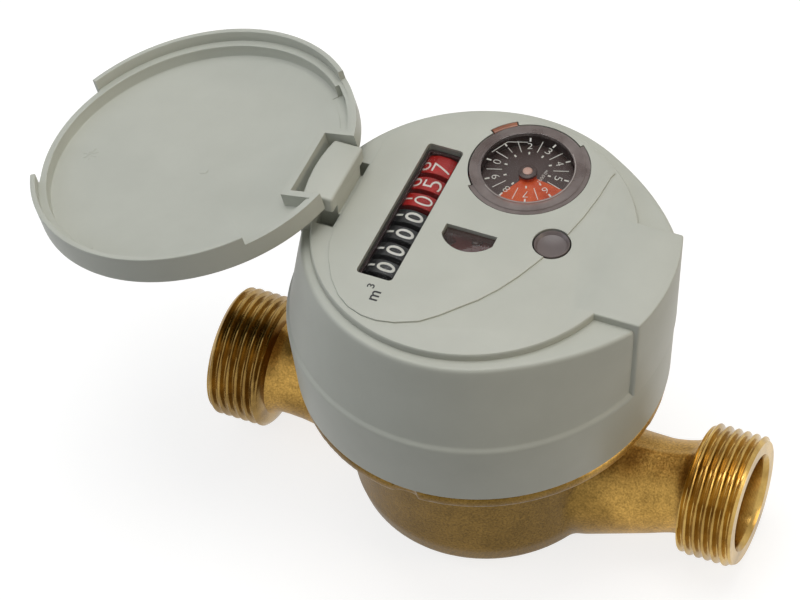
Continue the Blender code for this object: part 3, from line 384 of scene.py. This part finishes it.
def moulded(name, colour, shade, rough, grain=0.5, depth=0.02, patch=7.0, clear=0.0):
    """Moulded plastic: two close shades in soft patches, and a fine grain in gloss and height.

    clear is how far light passes; a clear moulding turns more reflective at a low angle.
    """
    material = blank_material(name)
    tree = material.node_tree
    where = add_node(tree, "TexCoord").outputs["Object"]
    patches = add_node(tree, "TexNoise", None, {"Vector": where}, Scale=1.0 / (patch * MM), Detail=4.0, Roughness=0.55)
    fine = add_node(tree, "TexNoise", None, {"Vector": where}, Scale=1.0 / (grain * MM), Detail=2.0, Roughness=0.5)
    mixed = add_node(tree, "ValToRGB", None, {0: patches.outputs[0]})
    mixed.color_ramp.elements[0].position = 0.3
    mixed.color_ramp.elements[0].color = hex_colour(shade)
    mixed.color_ramp.elements[1].position = 0.7
    mixed.color_ramp.elements[1].color = hex_colour(colour)
    gloss = add_node(tree, "MapRange", None, {0: fine.outputs[0]})
    gloss.inputs[3].default_value = max(rough - 0.05, 0.02)
    gloss.inputs[4].default_value = rough + 0.05
    bump = add_node(tree, "Bump", None, {"Height": fine.outputs[0]}, Strength=0.4, Distance=depth * MM)
    shader = add_node(tree, "BsdfPrincipled", None, {"Base Color": mixed.outputs[0], "Roughness": gloss.outputs[0],
                                                     "Normal": bump.outputs[0]})
    shader.inputs["IOR"].default_value = 1.49
    if clear:
        edge = add_node(tree, "LayerWeight", None, None, Blend=0.5)
        hold = add_node(tree, "MapRange", {"interpolation_type": "SMOOTHSTEP"}, {0: edge.outputs["Facing"]})
        hold.inputs[1].default_value = 0.35
        hold.inputs[3].default_value = 1.0 - clear
        hold.inputs[4].default_value = 0.8
        tree.links.new(hold.outputs[0], shader.inputs["Alpha"])
    add_node(tree, "OutputMaterial", None, {"Surface": shader.outputs[0]})
    return material


def dress(material, *nodes):
    """Give CAD nodes a finished material in place of their plain one."""
    for name in nodes:
        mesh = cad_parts[name].data
        for k in range(len(mesh.materials)):
            mesh.materials[k] = material
        if not mesh.materials:
            mesh.materials.append(material)


# Nylon: an off-white, slightly waxy surface.
white_nylon = moulded("nylon, natural white, moulded", "e8e6dc", "d9d6c8", 0.42)
# Ferrite: dark grey, dry and grainy.
ferrite = moulded("ferrite, sintered", "3b3b3e", "2c2c2f", 0.6, 0.3, 0.05)
# Rubber: near black, with hardly any highlight.
rubber = moulded("EPDM rubber, moulded", "1d1d1d", "151515", 0.7, 0.4, 0.04)
# Polystyrene: the dark brown, half matt ground behind the dial.
brown_plastic = moulded("polystyrene, dark brown, moulded", "4d3c37", "42322e", 0.42)
# Stainless steel: a pale, cool metal with clear reflections.
stainless = metal("stainless steel, bright drawn", "c9c9c7", "adadaa", 0.5, 0.25, 0.01, 0.0, None, 0.04)
dress(white_nylon, "inlet_strainer", "impeller")
dress(ferrite, "impeller_magnet")
dress(rubber, "plate_seal")
dress(brown_plastic, "pressure_plate")
dress(cast_brass, "locking_ring")
dress(stainless, "lower_pivot", "register_clip")


# Dry side: the register's grey base with its magnetic shield, and on it two black plates
# on pillars and three screws that hold the gears, arbors and the worm.
# ABS: a light grey whose fine matt grain breaks up each highlight.
light_grey = moulded("ABS, light grey, fine matt moulding", "bdbfb4", "b6b8ad", 0.46, 0.32, 0.014, 14.0)
# Polyacetal: smooth black or clean white, with a soft sheen.
black_plastic = moulded("polyacetal, black, moulded", "26282a", "1c1d1f", 0.45)
white_acetal = moulded("polyacetal, white, moulded", "ecebe4", "dfddd3", 0.38)
# Polystyrene: a strong red that shows through the leak window.
red_plastic = moulded("polystyrene, red, moulded", "b5231c", "8e1814", 0.36)
dress(light_grey, "register_base")
dress(stainless, "magnetic_shield", "driven_arbor", "movement_screw_1", "movement_screw_2", "movement_screw_3")
dress(ferrite, "driven_magnet")
dress(black_plastic, "movement_plate", "movement_bridge", "counter_frame")
dress(white_acetal, "transfer_gear", "pointer_arbor", "worm_arbor")
dress(red_plastic, "leak_star")


# Counter: seven drums on a steel axle, four black for whole cubic metres and three red for
# the parts of one, with white printed figures; small white pinions carry from drum to drum.
WHEEL_X, WHEEL_Z = -13.3, 62.5
WHEEL_Y, WHEEL_PITCH = 13.5, 4.43
DRUM_R = 6.52
FIGURE_LEAN = 5.0
READING = (7, 5, 0, 0, 0, 0, 0)
# Satin polystyrene: black or red drums with a narrow highlight along them.
glossy_black = moulded("polystyrene, black, satin moulding", "2b2c2c", "1b1c1c", 0.3, 0.5, 0.01, 3.0)
glossy_red = moulded("polystyrene, red, satin moulding", "c4180f", "960f0a", 0.3, 0.5, 0.01, 3.0)
# White ink: matt and opaque, so the figures stay even.
white_ink = moulded("white pad-printing ink", "f2f1ea", "dedccf", 0.5, 0.3, 0.01, 2.0)
dress(stainless, "counter_axle", "carry_axle")
dress(white_acetal, *["carry_pinion_%d" % k for k in range(1, 7)])


def lettering(name, words, width, height, stroke=0.0, thick=0.04):
    """Printed figures as a thin raised mesh of a size in mm, centred on the origin.

    A width of 0 keeps the figures' own proportion.
    """
    bpy.ops.object.select_all(action="DESELECT")
    bpy.ops.object.text_add()
    text = bpy.context.object
    text.data.body = words
    text.data.resolution_u = 4
    text.data.extrude = 0.1
    text.data.offset = stroke
    bpy.ops.object.convert(target="MESH")
    text = bpy.context.object
    text.name = name
    low = [min(v.co[k] for v in text.data.vertices) for k in range(3)]
    high = [max(v.co[k] for v in text.data.vertices) for k in range(3)]
    width = width or 0.8 * height * (high[0] - low[0]) / (high[1] - low[1])
    for vert in text.data.vertices:
        for k, size in enumerate((width, height, thick)):
            vert.co[k] = ((vert.co[k] - low[k]) / (high[k] - low[k]) - 0.5) * size * MM
    bpy.ops.object.mode_set(mode="EDIT")
    bpy.ops.mesh.select_all(action="SELECT")
    bpy.ops.mesh.remove_doubles(threshold=1e-7)
    bpy.ops.mesh.normals_make_consistent(inside=False)
    bpy.ops.object.mode_set(mode="OBJECT")
    return text


def figure_band(stroke):
    """The ten figures round one drum, bent to its surface, as if the drum showed 0."""
    band = []
    for figure in range(10):
        digit = lettering("figures", str(figure), 0.0 if figure == 1 else 2.2, 3.6, stroke)
        bpy.ops.object.mode_set(mode="EDIT")
        for k in range(-4, 5):
            bpy.ops.mesh.select_all(action="SELECT")
            bpy.ops.mesh.bisect(plane_co=(0.0, 0.42 * k * MM, 0.0), plane_no=(0.0, 1.0, 0.0))
        bpy.ops.object.mode_set(mode="OBJECT")
        for vert in digit.data.vertices:
            across, up, out = vert.co / MM
            angle = math.radians(FIGURE_LEAN - 36.0 * figure) - up / DRUM_R
            reach = DRUM_R + 0.01 + out
            vert.co = Vector((WHEEL_X + reach * math.sin(angle), across, WHEEL_Z + reach * math.cos(angle))) * MM
        band.append(digit)
    return merge("figures", *band)


def copy_of(obj, name):
    new = obj.copy()
    new.data = obj.data.copy()
    new.name = name
    bpy.context.scene.collection.objects.link(new)
    return new


def place(obj, matrix):
    """Move a finished mesh by a matrix and leave its object at the origin."""
    solo(obj)
    obj.matrix_world = matrix
    bpy.ops.object.transform_apply(location=True, rotation=True, scale=True)
    return obj


bands = {"red_wheel": figure_band(-0.012), "black_wheel": figure_band(0.008)}
sleeve_rings = [(-1.68, 6.1), (-1.68, 6.44), (-1.6, DRUM_R), (1.52, DRUM_R), (1.6, 6.44), (1.6, 6.1), (-1.68, 6.1)]
sleeve = turned("drum", sleeve_rings, 72, (WHEEL_X, 0.0, WHEEL_Z), "Y", False)
smooth(sleeve)
for k, reading in enumerate(READING):
    kind = "red_wheel" if k < 3 else "black_wheel"
    plastic = glossy_red if k < 3 else glossy_black
    dress(plastic, "number_wheel_%d" % (k + 1))
    across = (WHEEL_Y - WHEEL_PITCH * k) * MM
    drum = place(copy_of(sleeve, "drum_sleeve_%d" % (k + 1)), Matrix.Translation((0.0, across, 0.0)))
    hub = Matrix.Translation((WHEEL_X * MM, across, WHEEL_Z * MM))
    turn_on = Matrix.Rotation(math.radians(36.0 * reading), 4, "Y")
    print_ring = place(copy_of(bands[kind], "drum_figures_%d" % (k + 1)),
                       hub @ turn_on @ Matrix.Translation((-WHEEL_X * MM, 0.0, -WHEEL_Z * MM)))
    for piece, finish, slot_name in ((drum, plastic, kind), (print_ring, white_ink, "white_gears")):
        piece.data.materials.clear()
        piece.data.materials.append(finish)
        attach(piece, "wheel_%d" % (k + 1))
for spare in (sleeve, *bands.values()):
    bpy.data.objects.remove(spare, do_unlink=True)


# Dial: a dark brown disc on two legs and an orange sector pointer on its arbor, with a
# pale pivot cap; the scale is printed in white on the underside of the dial window.
DIAL_X, DIAL_Y = 3.0, 17.8
PRINT_LOW, PRINT_MID, PRINT_HIGH = 70.14, 70.165, 70.19
# Polystyrene: a bright orange-red, the one warm accent on the dial.
orange_plastic = moulded("polystyrene, orange, moulded", "e2662a", "c9430f", 0.35, 0.5, 0.01, 2.5)
# Polyacetal: a small pale pink dot in the middle.
pink_plastic = moulded("polyacetal, pale pink, turned", "dcb6a6", "c99b8a", 0.3)
dress(brown_plastic, "dial_disc")
dress(orange_plastic, "pointer")
collar = turned("pivot_collar", [(69.35, 1.78), (69.8, 1.78), (69.92, 1.6), (69.92, 0.9)], 40, (DIAL_X, DIAL_Y, 0.0))
smooth(collar)
collar.data.materials.append(brown_plastic)
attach(collar, "pointer_arbor")
cap = turned("pivot_cap", [(69.85, 0.95), (70.0, 0.92), (70.07, 0.75), (70.12, 0.45), (70.14, 0.1)], 32,
             (DIAL_X, DIAL_Y, 0.0))
smooth(cap, 60.0)
cap.data.materials.append(pink_plastic)
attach(cap, "pointer_arbor")
ground_rings = [(67.4, 9.15), (70.0, 9.15), (70.1, 9.25), (70.1, 10.0), (67.4, 10.0), (67.4, 9.15)]
ground = turned("dial_ground_ring", ground_rings, 72, (DIAL_X, DIAL_Y, 0.0), "Z", False)
smooth(ground)
ground.data.materials.append(brown_plastic)
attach(ground, "register")


def printed_line(points, width):
    """Line through flat points in mm, as a thin bar mesh for each of its lengths."""
    bars = []
    for (x0, y0), (x1, y1) in zip(points, points[1:]):
        length = math.hypot(x1 - x0, y1 - y0) + width
        bar = block("bar", (-0.5 * length, -0.5 * width, PRINT_LOW), (0.5 * length, 0.5 * width, PRINT_HIGH))
        place(bar, Matrix.Translation((0.5 * (x0 + x1) * MM, 0.5 * (y0 + y1) * MM, 0.0))
              @ Matrix.Rotation(math.atan2(y1 - y0, x1 - x0), 4, "Z"))
        bars.append(bar)
    return bars


def on_dial(angle, radius):
    a = math.radians(angle)
    return (DIAL_X + radius * math.cos(a), DIAL_Y + radius * math.sin(a))


marks = []
for k in range(10):
    angle = 180.0 - 36.0 * k
    digit = lettering("scale", str(k), 0.0 if k == 1 else 1.0, 1.5, -0.018)
    spot = on_dial(angle, 6.2)
    place(digit, Matrix.Translation((spot[0] * MM, spot[1] * MM, PRINT_MID * MM))
          @ Matrix.Rotation(math.radians(angle - 90.0), 4, "Z"))
    marks.append(digit)
    marks += printed_line([on_dial(angle - 18.0, 4.9), on_dial(angle - 18.0, 7.7)], 0.13)
    marks += printed_line([on_dial(angle, 7.55), on_dial(angle, 8.15)], 0.32)
    marks += printed_line([on_dial(angle, 4.25), on_dial(angle, 4.5)], 0.32)
marks += printed_line([on_dial(112.0, 7.2), on_dial(139.0, 8.3), on_dial(166.0, 8.3)], 0.12)
factor = lettering("scale", "x0,0001", 3.4, 0.8, -0.02)
place(factor, Matrix.Translation((*[c * MM for c in on_dial(-8.0, 3.3)], PRINT_MID * MM))
      @ Matrix.Rotation(math.radians(-98.0), 4, "Z"))
scale_print = merge("dial_scale", *marks, factor)
scale_print.data.materials.clear()
scale_print.data.materials.append(white_ink)
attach(scale_print, "register")


# Register housing: one light grey ABS moulding with a fine matt surface. The wall has a
# ridge below and swells into the nose; the deck stands above a ledge and holds the windows.
DECK_X, DECK_R, DECK_Z, LEDGE_Z = -0.57, 30.5, 70.4, 68.8
HINGE_X, HINGE_Z = -29.3, 74.33
PLUG_X, PLUG_Y = 14.3, 1.75
LEAK_X, LEAK_HALF = -0.7, 5.1
SWELL, SWELL_POWER = 0.00615, 1.77
PANEL_Z = 70.75
LID_R = 31.96
SLOT_Y = (5.15, 8.6)
RIM_STEP, RIM_LUG = (-136.4, 49.0), (121.5, 145.9)
PANEL_EDGE = ((-25.0, -7.6), (-24.3, -12.8), (-22.8, -16.4), (-20.4, -20.5), (-17.6, -23.7), (-14.9, -25.6),
              (-11.7, -26.7), (-8.8, -26.9), (-5.3, -26.2), (-1.3, -24.4), (1.6, -21.8), (4.2, -18.8), (6.9, -15.8),
              (9.4, -12.1), (11.6, -7.9), (13.5, -3.4), (15.2, 1.0), (16.4, 5.6), (17.4, 10.2), (18.2, 15.9),
              (18.5, 21.2))


def arc(cx, cy, radius, start, end, count=24):
    """Points on an arc, angles in degrees."""
    out = []
    for k in range(count + 1):
        a = math.radians(start + (end - start) * k / count)
        out.append((cx + radius * math.cos(a), cy + radius * math.sin(a)))
    return out


def plate(name, points, low, high, soften=0.0, flowing=False):
    """Flat piece of the given outline in mm between two heights, its edges rounded by soften."""
    curve = bpy.data.curves.new(name, "CURVE")
    curve.dimensions = "2D"
    curve.fill_mode = "BOTH"
    curve.extrude = 0.5 * (high - low) * MM
    spline = curve.splines.new("BEZIER" if flowing else "POLY")
    knots = spline.bezier_points if flowing else spline.points
    knots.add(len(points) - 1)
    for knot, (x, y) in zip(knots, points):
        if flowing:
            knot.co = (x * MM, y * MM, 0.0)
            knot.handle_left_type = knot.handle_right_type = "AUTO"
        else:
            knot.co = (x * MM, y * MM, 0.0, 1.0)
    spline.use_cyclic_u = True
    spline.resolution_u = 5
    obj = bpy.data.objects.new(name, curve)
    bpy.context.scene.collection.objects.link(obj)
    solo(obj)
    bpy.ops.object.convert(target="MESH")
    obj = bpy.context.object
    bpy.ops.object.mode_set(mode="EDIT")
    bpy.ops.mesh.select_all(action="SELECT")
    bpy.ops.mesh.remove_doubles(threshold=1e-6)
    bpy.ops.mesh.dissolve_limited(angle_limit=math.radians(0.2))
    bpy.ops.mesh.select_all(action="SELECT")
    bpy.ops.mesh.normals_make_consistent(inside=False)
    bpy.ops.object.mode_set(mode="OBJECT")
    place(obj, Matrix.Translation((0.0, 0.0, 0.5 * (high + low) * MM)))
    if soften:
        apply_modifier(obj, "BEVEL", width=soften * MM, segments=3, limit_method="ANGLE",
                       angle_limit=math.radians(40.0))
    return obj


def rounded_box(cx, cy, width, length, radius):
    out = []
    for sx, sy, start in ((1, 1, 0.0), (-1, 1, 90.0), (-1, -1, 180.0), (1, -1, 270.0)):
        out += arc(cx + sx * (0.5 * width - radius), cy + sy * (0.5 * length - radius), radius, start, start + 90.0, 5)
    return out


def half_moon(grow):
    """Outline of the leak window, drawn in or out by grow."""
    right, left = LEAK_X + LEAK_HALF + grow, LEAK_X - LEAK_HALF - grow
    round_edge = [(min(max(x, left), right), y) for x, y in arc(LEAK_X, 0.0, 5.9 + grow, 210.0, 330.0, 30)]
    return [(right, -0.45 + grow), (left, -0.45 + grow)] + round_edge


def block_plan(half, front):
    """Plan of the hinge block: straight front, round back along the edge of the lid."""
    reach = math.degrees(math.asin(half / (LID_R - 0.1)))
    return [(front, half)] + arc(DECK_X, 0.0, LID_R - 0.1, 180.0 - reach, 180.0 + reach, 16) + [(front, -half)]


def nose(name, low_r, high_r, y_low, y_high, x_in, low, high, soften=0.0):
    """Nose with a round front that flares from low_r to high_r."""
    ends = [math.degrees(math.asin(y / low_r)) for y in (y_low, y_high)]
    piece = plate(name, [(x_in, y_low)] + arc(0.0, 0.0, low_r, ends[0], ends[1], 24) + [(x_in, y_high)], low, high)
    for vert in piece.data.vertices:
        if vert.co.z > 0.5 * (low + high) * MM and vert.co.x > (x_in + 0.1) * MM:
            vert.co.x = math.sqrt((high_r * MM) ** 2 - vert.co.y ** 2)
    if soften:
        apply_modifier(piece, "BEVEL", width=soften * MM, segments=3, limit_method="ANGLE",
                       angle_limit=math.radians(40.0))
    return piece


def dial_sector(name, inner, outer, start, end, low, high):
    """Part of a flat ring about the dial, between two angles."""
    outline = arc(DIAL_X, DIAL_Y, outer, start, end, 48) + arc(DIAL_X, DIAL_Y, inner, end, start, 48)
    return plate(name, outline, low, high)


shell_rings = [(35.45, 35.55), (35.6, 35.85), (35.85, 35.95), (49.3, 36.82), (49.9, 36.85), (50.3, 36.78),
               (50.6, 36.55), (50.9, 36.28), (51.2, 36.17), (51.7, 36.1), (55.0, 35.49), (59.0, 34.73),
               (63.0, 33.96), (66.5, 33.25), (67.9, 32.95), (68.3, 32.8), (68.6, 32.6), (68.78, 32.3),
               (LEDGE_Z, 31.95)]
shell = turned("register_housing", shell_rings, 192)
for vert in shell.data.vertices:
    share = min(max((vert.co.z / MM - 51.0) / 17.3, 0.0), 1.0)
    off = abs(math.degrees(math.atan2(vert.co.y, vert.co.x)))
    swell = SWELL * max(60.0 - max(off, 19.0), 0.0) ** SWELL_POWER
    radius = math.hypot(vert.co.x, vert.co.y)
    if radius > 1e-6:
        grow = 1.0 + share * swell * MM / radius
        vert.co.x *= grow
        vert.co.y *= grow
deck = turned("deck", [(66.5, DECK_R), (69.9, DECK_R), (70.15, DECK_R - 0.06), (70.33, DECK_R - 0.22),
                       (DECK_Z, DECK_R - 0.45)], 160, (DECK_X, 0.0, 0.0))
cut_with(shell, deck, "UNION")
cut_with(shell, nose("nose", 37.08, 38.25, -11.3, 12.5, 24.0, 50.0, DECK_Z, 0.35), "UNION")
panel = list(PANEL_EDGE) + arc(DECK_X, 0.0, DECK_R - 0.9, 49.0, 138.0, 24) + [(-24.2, 17.8), (-25.0, 14.6)]
cut_with(shell, plate("panel", panel, DECK_Z - 0.6, PANEL_Z, 0.1), "UNION")
cavity = [(68.4, 28.6), (66.4, 28.6), (66.4, 30.4), (51.6, 33.2), (50.0, 34.0), (34.0, 34.0)]
cut_with(shell, turned("cavity", cavity, 96))
cut_with(shell, nose("nose_hollow", 35.0, 36.0, -9.3, 10.5, 27.0, 52.0, 68.4))
cut_with(shell, block("hinge_rest", (-31.6, -9.6, 65.0), (-23.6, 9.6, 69.0)), "UNION")
for side in (-1.0, 1.0):
    near, far = sorted((side * SLOT_Y[0], side * SLOT_Y[1]))
    cut_with(shell, block("slot", (-29.6, near, 66.6), (-25.4, far, 72.0)))
    cut_with(shell, block("relief", (-34.0, near, LEDGE_Z), (-29.0, far, 72.0)))
hinge = plate("hinge_block", block_plan(7.3, -25.8), 71.0, 76.2, 0.5)
cut_with(hinge, block("underside", (-40.0, -10.0, 70.0), (-20.0, 10.0, 73.0)))
cut_with(hinge, plate("stem", block_plan(SLOT_Y[0], -25.78), 67.8, 74.0), "UNION")
pin_hole = turned("pin_hole", [(-9.0, 1.0), (-6.05, 1.0)], 24, (HINGE_X, 0.0, HINGE_Z), "Y")
cut_with(hinge, place(copy_of(pin_hole, "pin_hole_2"), Matrix.Translation((0.0, 15.05 * MM, 0.0))))
cut_with(hinge, pin_hole)
cut_with(shell, hinge, "UNION")
cut_with(shell, plate("counter_opening", rounded_box(WHEEL_X, 0.0, 7.2, 34.8, 0.8), 67.0, 73.0))
cut_with(shell, turned("dial_opening", [(67.0, 11.3), (73.0, 11.3)], 96, (DIAL_X, DIAL_Y, 0.0)))
for reach, start, end in ((11.95, *RIM_STEP), (12.25, *RIM_LUG)):
    cut_with(shell, dial_sector("dial_recess", 10.5, reach, start - 1.2, end + 1.2, 69.7, 73.0))
cut_with(shell, plate("leak_opening", half_moon(0.0), 67.0, 73.0))
cut_with(shell, turned("plug_opening", [(67.0, 3.65), (73.0, 3.65)], 64, (PLUG_X, PLUG_Y, 0.0)))
smooth(shell, 30.0)
shell.data.materials.clear()
shell.data.materials.append(light_grey)
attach(shell, "register")
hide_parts("housing_shell")


# Windows and plug: clear acrylic panes pressed into the deck, the dial's as a low cup with
# a bevelled rim, and a dark round plug that closes the hole for a reading sensor.
# Clear acrylic: almost unseen from above, darker and glossier at a low angle.
clear_acrylic = moulded("acrylic, clear, polished", "3c3c3c", "303030", 0.05, 3.0, 0.004, 20.0, 0.95)
# Smoke acrylic: it darkens what lies below the leak window.
brown_acrylic = moulded("acrylic, smoke brown, polished", "46342f", "3c2b27", 0.08, 3.0, 0.004, 20.0, 0.55)
# Acrylic seen on edge: a glossy ring that takes the brown of the dial below.
dark_rim = moulded("acrylic rim, clear over brown, seen on edge", "9a8f8b", "64544f", 0.14, 0.6, 0.01, 9.0, 0.3)
# The lug picks up the pointer's orange.
amber_rim = moulded("acrylic lug, amber where it carries the pointer's colour", "a0623f", "7d4429", 0.2, 0.6, 0.01, 3.0)
# The polished bevel catches the light as a thin pale line.
pale_edge = moulded("acrylic, polished bevel", "bdb5b0", "a59b96", 0.15, 0.6, 0.01, 3.0, 0.2)
# Liner and plug: a black-brown and a dark grey moulding, half matt.
dark_liner = moulded("polystyrene, black-brown, moulded", "3a2321", "2a1917", 0.3)
dark_plastic = moulded("ABS, dark grey, moulded", "6c605d", "5a504e", 0.35)
cup_rings = [(70.2, 8.8), (70.98, 8.8), (71.0, 8.9), (70.76, 9.28), (70.78, 9.5), (70.9, 10.85), (70.8, 11.0),
             (68.9, 11.0), (68.9, 10.2), (70.2, 10.2), (70.2, 8.8)]
rim = turned("dial_window_rim", cup_rings, 96, (DIAL_X, DIAL_Y, 0.0), "Z", False)
cut_with(rim, dial_sector("step", 10.6, 11.8, *RIM_STEP, 69.95, 70.72), "UNION")
lug = dial_sector("dial_window_lug", 11.05, 12.1, *RIM_LUG, 69.95, 70.85)
apply_modifier(lug, "BEVEL", width=0.2 * MM, segments=2, limit_method="ANGLE", angle_limit=math.radians(40.0))
edge_line = dial_sector("dial_window_edge", 8.93, 9.1, -130.0, 42.0, 70.9, 71.0)
pane = turned("dial_window_pane", [(70.2, 8.8), (70.98, 8.8)], 96, (DIAL_X, DIAL_Y, 0.0))
counter_pane = plate("counter_window_pane", rounded_box(WHEEL_X, 0.0, 6.6, 34.2, 0.6), 69.5, 70.6, 0.12)
liner = plate("counter_window_liner", rounded_box(WHEEL_X, 0.0, 6.6, 34.2, 0.6), 68.5, 69.45)
cut_with(liner, plate("liner_opening", rounded_box(WHEEL_X, 0.0, 6.0, 33.0, 0.5), 68.0, 70.0))
leak_pane = plate("leak_window_pane", half_moon(-0.3), 69.2, 70.2, 0.1)
plug = turned("sensor_hole_plug", [(68.7, 3.35), (70.5, 3.35), (70.58, 3.28), (70.5, 3.15), (69.95, 2.75), (69.72, 1.9),
                                   (69.65, 0.3)], 64, (PLUG_X, PLUG_Y, 0.0))
for piece, finish, slot_name, node in ((rim, dark_rim, "clear_window", None), (lug, amber_rim, "clear_window", None),
                                       (edge_line, pale_edge, "clear_window", None),
                                       (liner, dark_liner, "black_movement", None),
                                       (pane, clear_acrylic, "clear_window", "dial_window"),
                                       (counter_pane, clear_acrylic, "clear_window", "counter_window"),
                                       (leak_pane, brown_acrylic, "clear_window", "leak_window"),
                                       (plug, dark_plastic, "dark_plug", "sensor_plug")):
    smooth(piece)
    piece.data.materials.clear()
    piece.data.materials.append(finish)
    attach(piece, "register")
    if node:
        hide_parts(node)


# Unit beside the counter: "m" with a raised 3, for cubic metres. It is black ink,
# pad-printed on the deck's raised panel beyond the counter's slowest wheel.
# Black ink: matt, with a clean edge on the grey.
black_ink = moulded("black pad-printing ink", "1c1d1d", "141515", 0.5, 0.3, 0.01, 2.0)
letters = []
for words, x, y, width, height in (("m", -11.11, -21.64, 2.35, 1.6), ("3", -12.77, -19.67, 0.95, 1.45)):
    letter = lettering("unit", words, width, height, 0.012)
    place(letter, Matrix.Translation((x * MM, y * MM, (PANEL_Z + 0.02) * MM))
          @ Matrix.Rotation(math.radians(90.0), 4, "Z"))
    letters.append(letter)
unit = merge("unit_print", *letters)
unit.data.materials.clear()
unit.data.materials.append(black_ink)
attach(unit, "register")


# Lid: a second light grey moulding, modelled shut over the deck and then swung open about
# its two pins. A stepped skirt runs round it, with gaps for the nose and the hinge block.
HINGE = Vector((HINGE_X, 0.0, HINGE_Z)) * MM
LID_OPEN = 192.8
TOP = 75.27
GATE_X, GATE_Y = DECK_X + 23.3, -1.6


def skirt_cutter(inner, outer, start, end, high):
    ring = arc(DECK_X, 0.0, outer, start, end, 40) + arc(DECK_X, 0.0, inner, end, start, 40)
    return plate("skirt_cutter", ring, TOP - 8.0, high)


lid_rings = [(TOP, 31.2), (TOP - 0.06, 31.55), (TOP - 0.2, 31.78), (TOP - 0.45, 31.92), (TOP - 0.8, LID_R),
             (TOP - 6.0, LID_R), (TOP - 6.12, LID_R - 0.08), (TOP - 6.15, LID_R - 0.2), (TOP - 6.15, 31.1),
             (TOP - 6.1, 31.0), (TOP - 6.0, 30.95), (TOP - 3.9, 30.95), (TOP - 3.9, 29.55),
             (TOP - 3.8, 29.42), (TOP - 3.65, 29.4), (TOP - 1.7, 29.4), (TOP - 1.42, 29.28), (TOP - 1.3, 29.0)]
lid = turned("hinged_lid", lid_rings, 160, (DECK_X, 0.0, 0.0))
cut_with(lid, skirt_cutter(28.1, 30.2, 135.6, 224.4, TOP - 1.2))
cut_with(lid, skirt_cutter(28.4, 34.0, 134.3, 225.7, TOP - 4.2))
cut_with(lid, skirt_cutter(30.65, 34.0, -25.0, 25.0, TOP - 1.4))
rib_plan = [(-23.85, -9.2), (-23.85, 9.2)] + arc(DECK_X, 0.0, LID_R - 0.4, 163.0, 197.0, 20)
rib = plate("rib", rib_plan, TOP - 4.16, TOP - 0.6)
cut_with(lid, rib, "UNION")
cut_with(lid, block("pocket", (-36.0, -7.84, TOP - 8.0), (-25.35, 7.84, TOP + 1.0)))
petal = plate("gate_mark", rounded_box(1.0, 0.0, 1.3, 0.42, 0.2), TOP - 1.36, TOP - 1.0)
for k in range(7):
    mark = place(copy_of(petal, "petal"), Matrix.Translation((GATE_X * MM, GATE_Y * MM, 0.0))
                 @ Matrix.Rotation(math.radians(51.4 * k), 4, "Z"))
    cut_with(lid, mark, "UNION")
bpy.data.objects.remove(petal, do_unlink=True)
for x, y, radius in ((DECK_X - 2.6, -2.7, 0.9), (DECK_X + 10.7, -25.7, 0.45), (GATE_X, GATE_Y, 0.3)):
    cut_with(lid, turned("ejector_mark", [(TOP - 1.37, radius), (TOP - 1.0, radius)], 24, (x, y, 0.0)), "UNION")
for side in (-1.0, 1.0):
    ends = sorted((side * 6.35, side * 8.3))
    cut_with(lid, turned("pin", [(ends[0], 0.75), (ends[1], 0.75)], 24, (HINGE_X, 0.0, HINGE_Z), "Y"), "UNION")
smooth(lid, 30.0)
lid.data.materials.clear()
lid.data.materials.append(light_grey)
place(lid, Matrix.Translation(HINGE) @ Matrix.Rotation(math.radians(-LID_OPEN), 4, "Y") @ Matrix.Translation(-HINGE))
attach(lid, "lid")
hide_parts("lid")

size = {"cad": [list(v) for v in cad_box], "scene": [list(v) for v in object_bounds()]}
